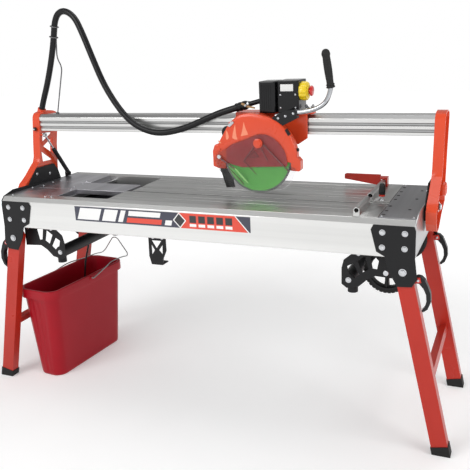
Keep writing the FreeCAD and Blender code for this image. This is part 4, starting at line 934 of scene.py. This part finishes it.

# the recessed panel behind the guard, painted a darker red than the cover: painted shade
panel_turns = np.linspace(-14, 166, 60)
panel = [tuple(p) for p in polar(arch_inner(panel_turns) + 2.5, panel_turns)]
panel += [(74, 946), (74, 908), (150, 890)]
housing.append(slab(panel, -68.4, -66.9, 1))

# the hinge ear at the left, the stop block at the right and the knuckle that the guard turns on
housing.append(slab([(38, 891), (58, 884), (84, 884), (92, 920), (92, 962), (62, 972), (44, 962),
                     (38, 945)],
                    -68.5, -40.2, 0))
housing.append(slab([(332, 884), (360, 882), (366, 888), (366, 918), (356, 929), (332, 932)], -71.5, -40.2,
                    0))
housing.append(turned([(14, 0), (14, 27), (12.6, 30), (8, 31.6), (0.05, 32)], (57, -41, 957), FRONTWARD, 40,
                      0))
# the second finish is a darker red for the recessed panel: painted shade
blade_cover = make_piece("blade_cover", housing, [orange_paint, make_finish(
    "recess painted shade red", (0.44, 0.040, 0.040), (0.36, 0.032, 0.032), (0.30, 0.42), grain=300, depth=0.00005,
    cloud=20)], "head", ["blade_housing"], sharp=38)
round_edges(blade_cover, 0.0018, 3, 50)

# the raised vanes on the swollen side are painted a lighter, glossier orange than the cover: a painted
# highlight
vane_painted_highlight = make_finish("vane painted highlight", (0.80, 0.25, 0.13), (0.74, 0.19, 0.095), (0.12, 0.20), grain=130,
                         depth=0.00004, cloud=10, Coat_Weight=0.6, Coat_Roughness=0.05)


def vane(tip, low, high, base_y, bulge):
    """A leaf between a tip and an edge: straight sides, a slightly bowed far edge, crowned towards the
    front in proportion to the distance from its border."""
    share, side = np.meshgrid(np.linspace(0.03, 1, 16), np.linspace(-1, 1, 13), indexing="ij")
    tip, low, high = (np.array(p, float) for p in (tip, low, high))
    edge = (low + high)[None, None] / 2 + side[..., None] * (high - low) / 2
    flat = tip + share[..., None] * (edge - tip)
    crown = bulge * (1 - side ** 2) * np.sin(np.pi * np.clip(share, 0, 1)) ** 0.6
    top = np.stack([flat[..., 0], base_y - crown - 0.05, flat[..., 1]], -1)
    bottom = np.stack([flat[..., 0], np.full(share.shape, base_y + 1.0), flat[..., 1]], -1)
    closed = np.concatenate([top, bottom[:, ::-1]], axis=1)
    return skin(closed / 1000, finish=0)


vanes = [vane((95, 1023), (90, 976), (112, 992), -71.6, 1.2),
         vane((130, 1041), (112, 990), (137, 988), -72.0, 0.9),
         vane((163, 1050), (150, 1000), (178, 1006), -72.1, 0.8),
         vane((60, 985), (72, 966), (86, 974), -70.8, 1.0)]
make_piece("cover_vanes", vanes, [vane_painted_highlight], "head")
make_piece("cover_fittings", [
    *hex_bolt(66, -76.0, 927, FRONTWARD, 4.2, 0),
    slab([(102, 1036), (110, 1032), (126, 1046), (124, 1052), (114, 1050)], -74, -72, 0),
    slab([(312, 1022), (318, 1028), (330, 1008), (323, 1003)], -71, -60, 1),
    turned([(6, 0), (6, 8), (5, 9.5), (0.05, 9.8)], (347, -56, 954), (1, 0, 0.1), 28, 1)],
    [zinc, black_plastic], "head")

# the splash flap: a rubber tongue behind the blade at the left
finished_copy("splash_flap", foot_rubber, 0.0008)

# ---- clear guard ----
# A smoky see-through plate hinged at the left, with moulded ribs. An orange boss lifts it as the head
# goes down.
smoke = bpy.data.materials.new("smoky clear plastic")
smoke.use_nodes = True
smoke_tree = smoke.node_tree
smoke_shader = smoke_tree.nodes["Principled BSDF"]
for socket, value in (("Metallic", 0.0), ("Transmission Weight", 1.0), ("IOR", 1.25),
                      ("Specular IOR Level", 0.5)):
    smoke_shader.inputs[socket].default_value = value
smoke_clouds = add_node(smoke_tree, "ShaderNodeGroup", {}, node_tree=texture_group)
smoke_clouds.inputs["Grain"].default_value = 260.0
smoke_clouds.inputs["Cloud"].default_value = 14.0
smoke_tint = add_node(smoke_tree, "ShaderNodeMix",
                      {0: smoke_clouds.outputs["Clouds"], 6: (0.90, 0.89, 0.90, 1),
                                                    7: (0.78, 0.77, 0.785, 1)}, data_type="RGBA")
smoke_tree.links.new(smoke_tint.outputs[2], smoke_shader.inputs["Base Color"])
smoke_rough = add_node(smoke_tree, "ShaderNodeMapRange",
                       {"Value": smoke_clouds.outputs["Clouds"], "To Min": 0.03,
                                                          "To Max": 0.12})
smoke_tree.links.new(smoke_rough.outputs[0], smoke_shader.inputs["Roughness"])
smoke_bump = add_node(smoke_tree, "ShaderNodeBump",
                      {"Height": smoke_clouds.outputs["Height"], "Distance": 0.00001})
smoke_tree.links.new(smoke_bump.outputs["Normal"], smoke_shader.inputs["Normal"])
guard_turns = np.linspace(-12, 160, 50)
guard_outline = [(52, 899), (64, 880), (76, 864), (88, 842), (101, 823), (117, 814), (137, 811), (185, 811),
                 (235, 811), (272, 813), (304, 819), (323, 834), (338, 856), (349, 880), (350, 893)]
guard_outline += [tuple(p) for p in polar(rounded_knots(arch_inner(guard_turns), guard_turns) + 3,
                                          guard_turns)]
guard_outline += [(72, 946), (54, 936), (48, 918)]
clear_guard = make_piece("smoky_guard", [slab(guard_outline, -76, -73.2)], [smoke], "guard",
                         ["clear_guard"], sharp=40)
round_edges(clear_guard, 0.0008, 2, 50)


def rib(start, end, width, low, high, finish=0):
    """A straight rib between two points in X and Z."""
    start, end = np.array(start, float), np.array(end, float)
    side = np.array((start[1] - end[1], end[0] - start[0])) / np.linalg.norm(end - start) * width / 2
    return slab([start + side, start - side, end - side, end + side], low, high, finish)


# the guard's ribs are opaque paint: most a dark red-brown, painted shade, and one broad rib a bright green,
# a painted highlight
rib_painted_shade = make_finish("rib painted shade", (0.13, 0.05, 0.05), (0.10, 0.04, 0.04), (0.08, 0.16), grain=300,
                        depth=0.00001, Coat_Weight=0.4)
rib_painted_highlight = make_finish("rib painted highlight", (0.22, 0.48, 0.14), (0.17, 0.40, 0.11), (0.08, 0.16), grain=300,
                        depth=0.00001, Coat_Weight=0.5)
make_piece("guard_ribs", [
    rib((214, 982), (160, 914), 3.0, -77.6, -75.8), rib((160, 914), (206, 868), 2.2, -77.6, -75.8),
    rib((228, 957), (250, 916), 2.4, -77.4, -75.8), rib((236, 972), (326, 882), 3.4, -78.0, -75.8),
    rib((200, 950), (180, 928), 2.0, -77.2, -75.8), rib((180, 928), (216, 930), 2.0, -77.2, -75.8),
    rib((216, 930), (200, 950), 2.0, -77.2, -75.8), rib((72, 920), (124, 884), 4.2, -77.8, -75.8),
    rib((124, 888), (172, 836), 6.5, -77.2, -75.8, 1), rib((104, 886), (158, 830), 2.0, -77.6, -75.8)],
    [rib_painted_shade, rib_painted_highlight], "guard")
make_piece("guard_boss", [
    turned([(16.8, 0), (16.8, 3), (13.5, 4), (13, 8.4), (11.6, 9.0), (0.05, 9.0)], (215, -76, 977),
           FRONTWARD, 48, 0),
    turned([(6.9, -6.6), (6.9, 4), (0.05, 4)], (66, -76, 927), FRONTWARD, 32, 1)],
    [orange_paint, zinc], "guard", ["guard_fittings"])

# ---- blade ----
# A thin diamond disc, painted green, with a bare continuous rim. A flange and a washer clamp it on the
# ground steel arbor.
blade_green = make_finish("blade green", (0.17, 0.66, 0.12), (0.14, 0.58, 0.10), (0.35, 0.48), grain=500,
                          depth=0.00003, cloud=20)
rim_grit = make_finish("diamond rim", (0.26, 0.27, 0.26), (0.16, 0.17, 0.16), (0.5, 0.7), grain=1600,
                       depth=0.0002, metal=0.5)
blade_low, blade_high = box_mm("blade")
blade_seat = (CENTRE[0], blade_high[1], CENTRE[1])
thick = blade_high[1] - blade_low[1]
make_piece("diamond_blade", [
    turned([(12.7, 0.2), (12.7, thick - 0.2), (13, thick - 0.25), (117.8, thick - 0.25), (118, 0.25),
            (13, 0.25)],
           blade_seat, FRONTWARD, 128, 0, loop=True),
    turned([(117.6, 0.4), (117.6, thick - 0.4), (118.2, thick), (124.4, thick), (125, thick - 0.6),
            (125, 0.6), (124.4, 0), (118.2, 0)], blade_seat, FRONTWARD, 128, 1, loop=True)],
    [blade_green, rim_grit], "blade", ["blade"])
finished_copy("arbor", zinc, 0.0007)

# ---- handle ----
# A bright bent tube clamped to the housing ends in a black rubber grip with a ribbed collar and a round
# top. Two screws close the clamp.
HANDLE_ROUTE = np.array([(274, -50, 1068), (330, -50, 1078), (392, -50, 1084), (438, -50, 1101),
                         (461, -50, 1130), (467, -50, 1160)]) / 1000
handle_line = smooth_line("handle line", HANDLE_ROUTE, 14)
make_piece("handle_bar", [skin(carried(handle_line, 0.008, 28))], [chrome], "head", ["handle_tube"],
           sharp=60)
GRIP_WAY = np.array((-16.0, 0, 104.0)) / np.hypot(16, 104)
grip_profile = [(8.2, -1), (13, 0), (14.6, 2), (14.6, 5), (12.6, 6.5), (12.6, 8), (14.4, 9.5), (14.4, 12),
                (12.2, 13.5), (11.6, 16), (11.9, 30)]
# the middle swells like half a sine wave, and fine ribs ripple over it
grip_profile += [(12.4 + 0.9 * math.sin(math.pi * h / 66) + 0.35 * math.cos(2 * math.pi * h / 5.5), 34 + h)
                 for h in np.linspace(0, 66, 61)]
grip_profile += [(12.6, 102), (14.0, 105), (14.4, 109), (13.6, 114), (12, 118.5), (9, 122.6), (5, 125),
                 (0.05, 125.8)]
make_piece("hand_grip", [turned(grip_profile, HANDLE_ROUTE[-1] * 1000, GRIP_WAY, 48)], [foot_rubber],
           "head", ["handle_grip"], sharp=60)
finished_copy("handle_clamp", gloss_black, 0.0016, steps=3)
make_piece("clamp_screws",
           [screw_head(x, -63.0, z, FRONTWARD, 3.4) for x, z in ((286, 1062), (312, 1069), (340, 1078))],
           [zinc], "head")

# ---- bucket ----
# A tapered red polypropylene bucket with rounded corners, a stepped rim band, ribs moulded into its narrow
# sides, and a wire bail in two ears.
bucket_red = make_finish("bucket red", (0.36, 0.004, 0.013), (0.31, 0.003, 0.011), (0.26, 0.38), grain=240,
                         depth=0.00012, cloud=4, Subsurface_Weight=0.03, Specular_IOR_Level=0.24)
# a lighter copy of the bucket's red for the inside: painted light
inside_red_painted_light = make_finish("inside red painted light", (0.40, 0.007, 0.018), (0.33, 0.005, 0.014), (0.28, 0.40), grain=240,
                         depth=0.00008, cloud=5, Specular_IOR_Level=0.24)
BUCKET_PLACE, BUCKET_ANGLE = np.array((-694.0, 11.0)), math.radians(-5)
ALONG = np.array((math.cos(BUCKET_ANGLE), math.sin(BUCKET_ANGLE)))
BUCKET_WAYS = np.array((ALONG, (-ALONG[1], ALONG[0])))
HEIGHT, WALL, RIM = 388.0, 4.0, 9.0
BASE, TOP = np.array((124.0, 420.0)), np.array((176.0, 464.0))


def bucket_ring(size, corner, z, ribs=0.0):
    """A rounded rectangle: quarter circles at four corners, joined by sides that are divided into short
    runs, where shallow ribs wave the narrow ends in and out. Turned and placed with the bucket."""
    half = np.array(size) / 2 - corner
    quarter = np.linspace(0, np.pi / 2, 12)
    corners = [np.column_stack([sx * half[0] + corner * np.cos(quarter + turn),
                                sy * half[1] + corner * np.sin(quarter + turn)])
               for sx, sy, turn in ((1, 1, 0), (-1, 1, np.pi / 2), (-1, -1, np.pi), (1, -1, 1.5 * np.pi))]
    parts = []
    for here, there in zip(corners, corners[1:] + corners[:1]):
        share = np.linspace(0, 1, 26)[1:-1, None]
        parts += [here, here[-1] + share * (there[0] - here[-1])]
    flat = np.concatenate(parts)
    on_end = np.abs(flat[:, 1]) > half[1] + corner - 0.01
    wave = ribs * (0.5 + 0.5 * np.cos(flat[:, 0] * 2 * np.pi / 26)) * on_end
    flat[:, 1] -= np.sign(flat[:, 1]) * wave
    placed = flat @ BUCKET_WAYS + BUCKET_PLACE
    return np.column_stack([placed, np.full(len(placed), z)]) / 1000


def wall_at(z):
    """Outside size of the tapered body at a height."""
    return BASE + (TOP - BASE) * z / HEIGHT


rings = [bucket_ring(BASE - 12, 38, 0.2), bucket_ring(BASE - 4, 42, 1.2), bucket_ring(BASE, 44, 4.5)]
rings += [bucket_ring(wall_at(z), 44, z, ribs=r) for z, r in
          ((14, 0), (22, 1.6), (120, 1.6), (220, 1.6), (318, 1.6), (328, 0), (346, 0))]
rings += [bucket_ring(wall_at(349.5) + d, c, z) for z, d, c in ((349.6, 1, 45), (350.2, 2 * RIM + 3.5, 51))]
rim_size = TOP + 2 * RIM
rings += [bucket_ring(rim_size, 52, z) for z in (352.5, 368, 384.5)]
rings += [bucket_ring(rim_size - 1.2, 51.6, 387), bucket_ring(rim_size - 4, 50.5, 388),
          bucket_ring(TOP - 2, 43, 388), bucket_ring(TOP - 6, 42, 387), bucket_ring(TOP - 2 * WALL, 41, 384)]
rings += [bucket_ring(wall_at(z) - 2 * WALL, 40, z, ribs=-0.01) for z in (350, 300, 200, 100, 20)]
rings += [bucket_ring(wall_at(8) - 2 * WALL - 6, 37, 6), bucket_ring(wall_at(5) - 2 * WALL - 20, 30, 4.4)]
shell_points, shell_quads, _ = skin(np.stack(rings))
side = TOP[0] / 2 + RIM
BAIL_Z = HEIGHT - 12
ear_skins = []
for sign in (1, -1):
    foot = BUCKET_PLACE + sign * (side - 0.4) * ALONG
    ear_skins.append(turned([(2.62, 0), (2.62, 6.2), (6.5, 6.2), (8, 5.2), (8.6, 1.5), (9.5, 0)],
                            (*foot, BAIL_Z), (*(sign * ALONG), 0), 36, 0, loop=True))
shell = make_piece("bucket_shell", [(shell_points, shell_quads, 0)] + ear_skins, [bucket_red, inside_red_painted_light],
                   "bucket", ["bucket"], sharp=50)
# the inner wall and the floor inside take a lighter copy of the bucket's red: painted light
middles, normals = per_face(shell, "center") * 1000, per_face(shell, "normal")
across, height = (middles[:, :2] - BUCKET_PLACE) @ BUCKET_WAYS.T, middles[:, 2]
inward = ((normals[:, :2] @ BUCKET_WAYS.T) * across).sum(axis=1) < 0
wall_inside = inward & (height < 384) & (height > 4) & (np.abs(across[:, 0]) < side - 4)
floor_inside = (height < 8) & (height > 4) & (normals[:, 2] > 0.3)
shell.data.polygons.foreach_set("material_index", (wall_inside | floor_inside).astype(np.int32))
bail_grey = make_finish("bail wire", (0.42, 0.42, 0.42), (0.34, 0.34, 0.34), (0.28, 0.40), grain=500,
                        metal=1.0)
finished_copy("bucket_bail", bail_grey, 0)
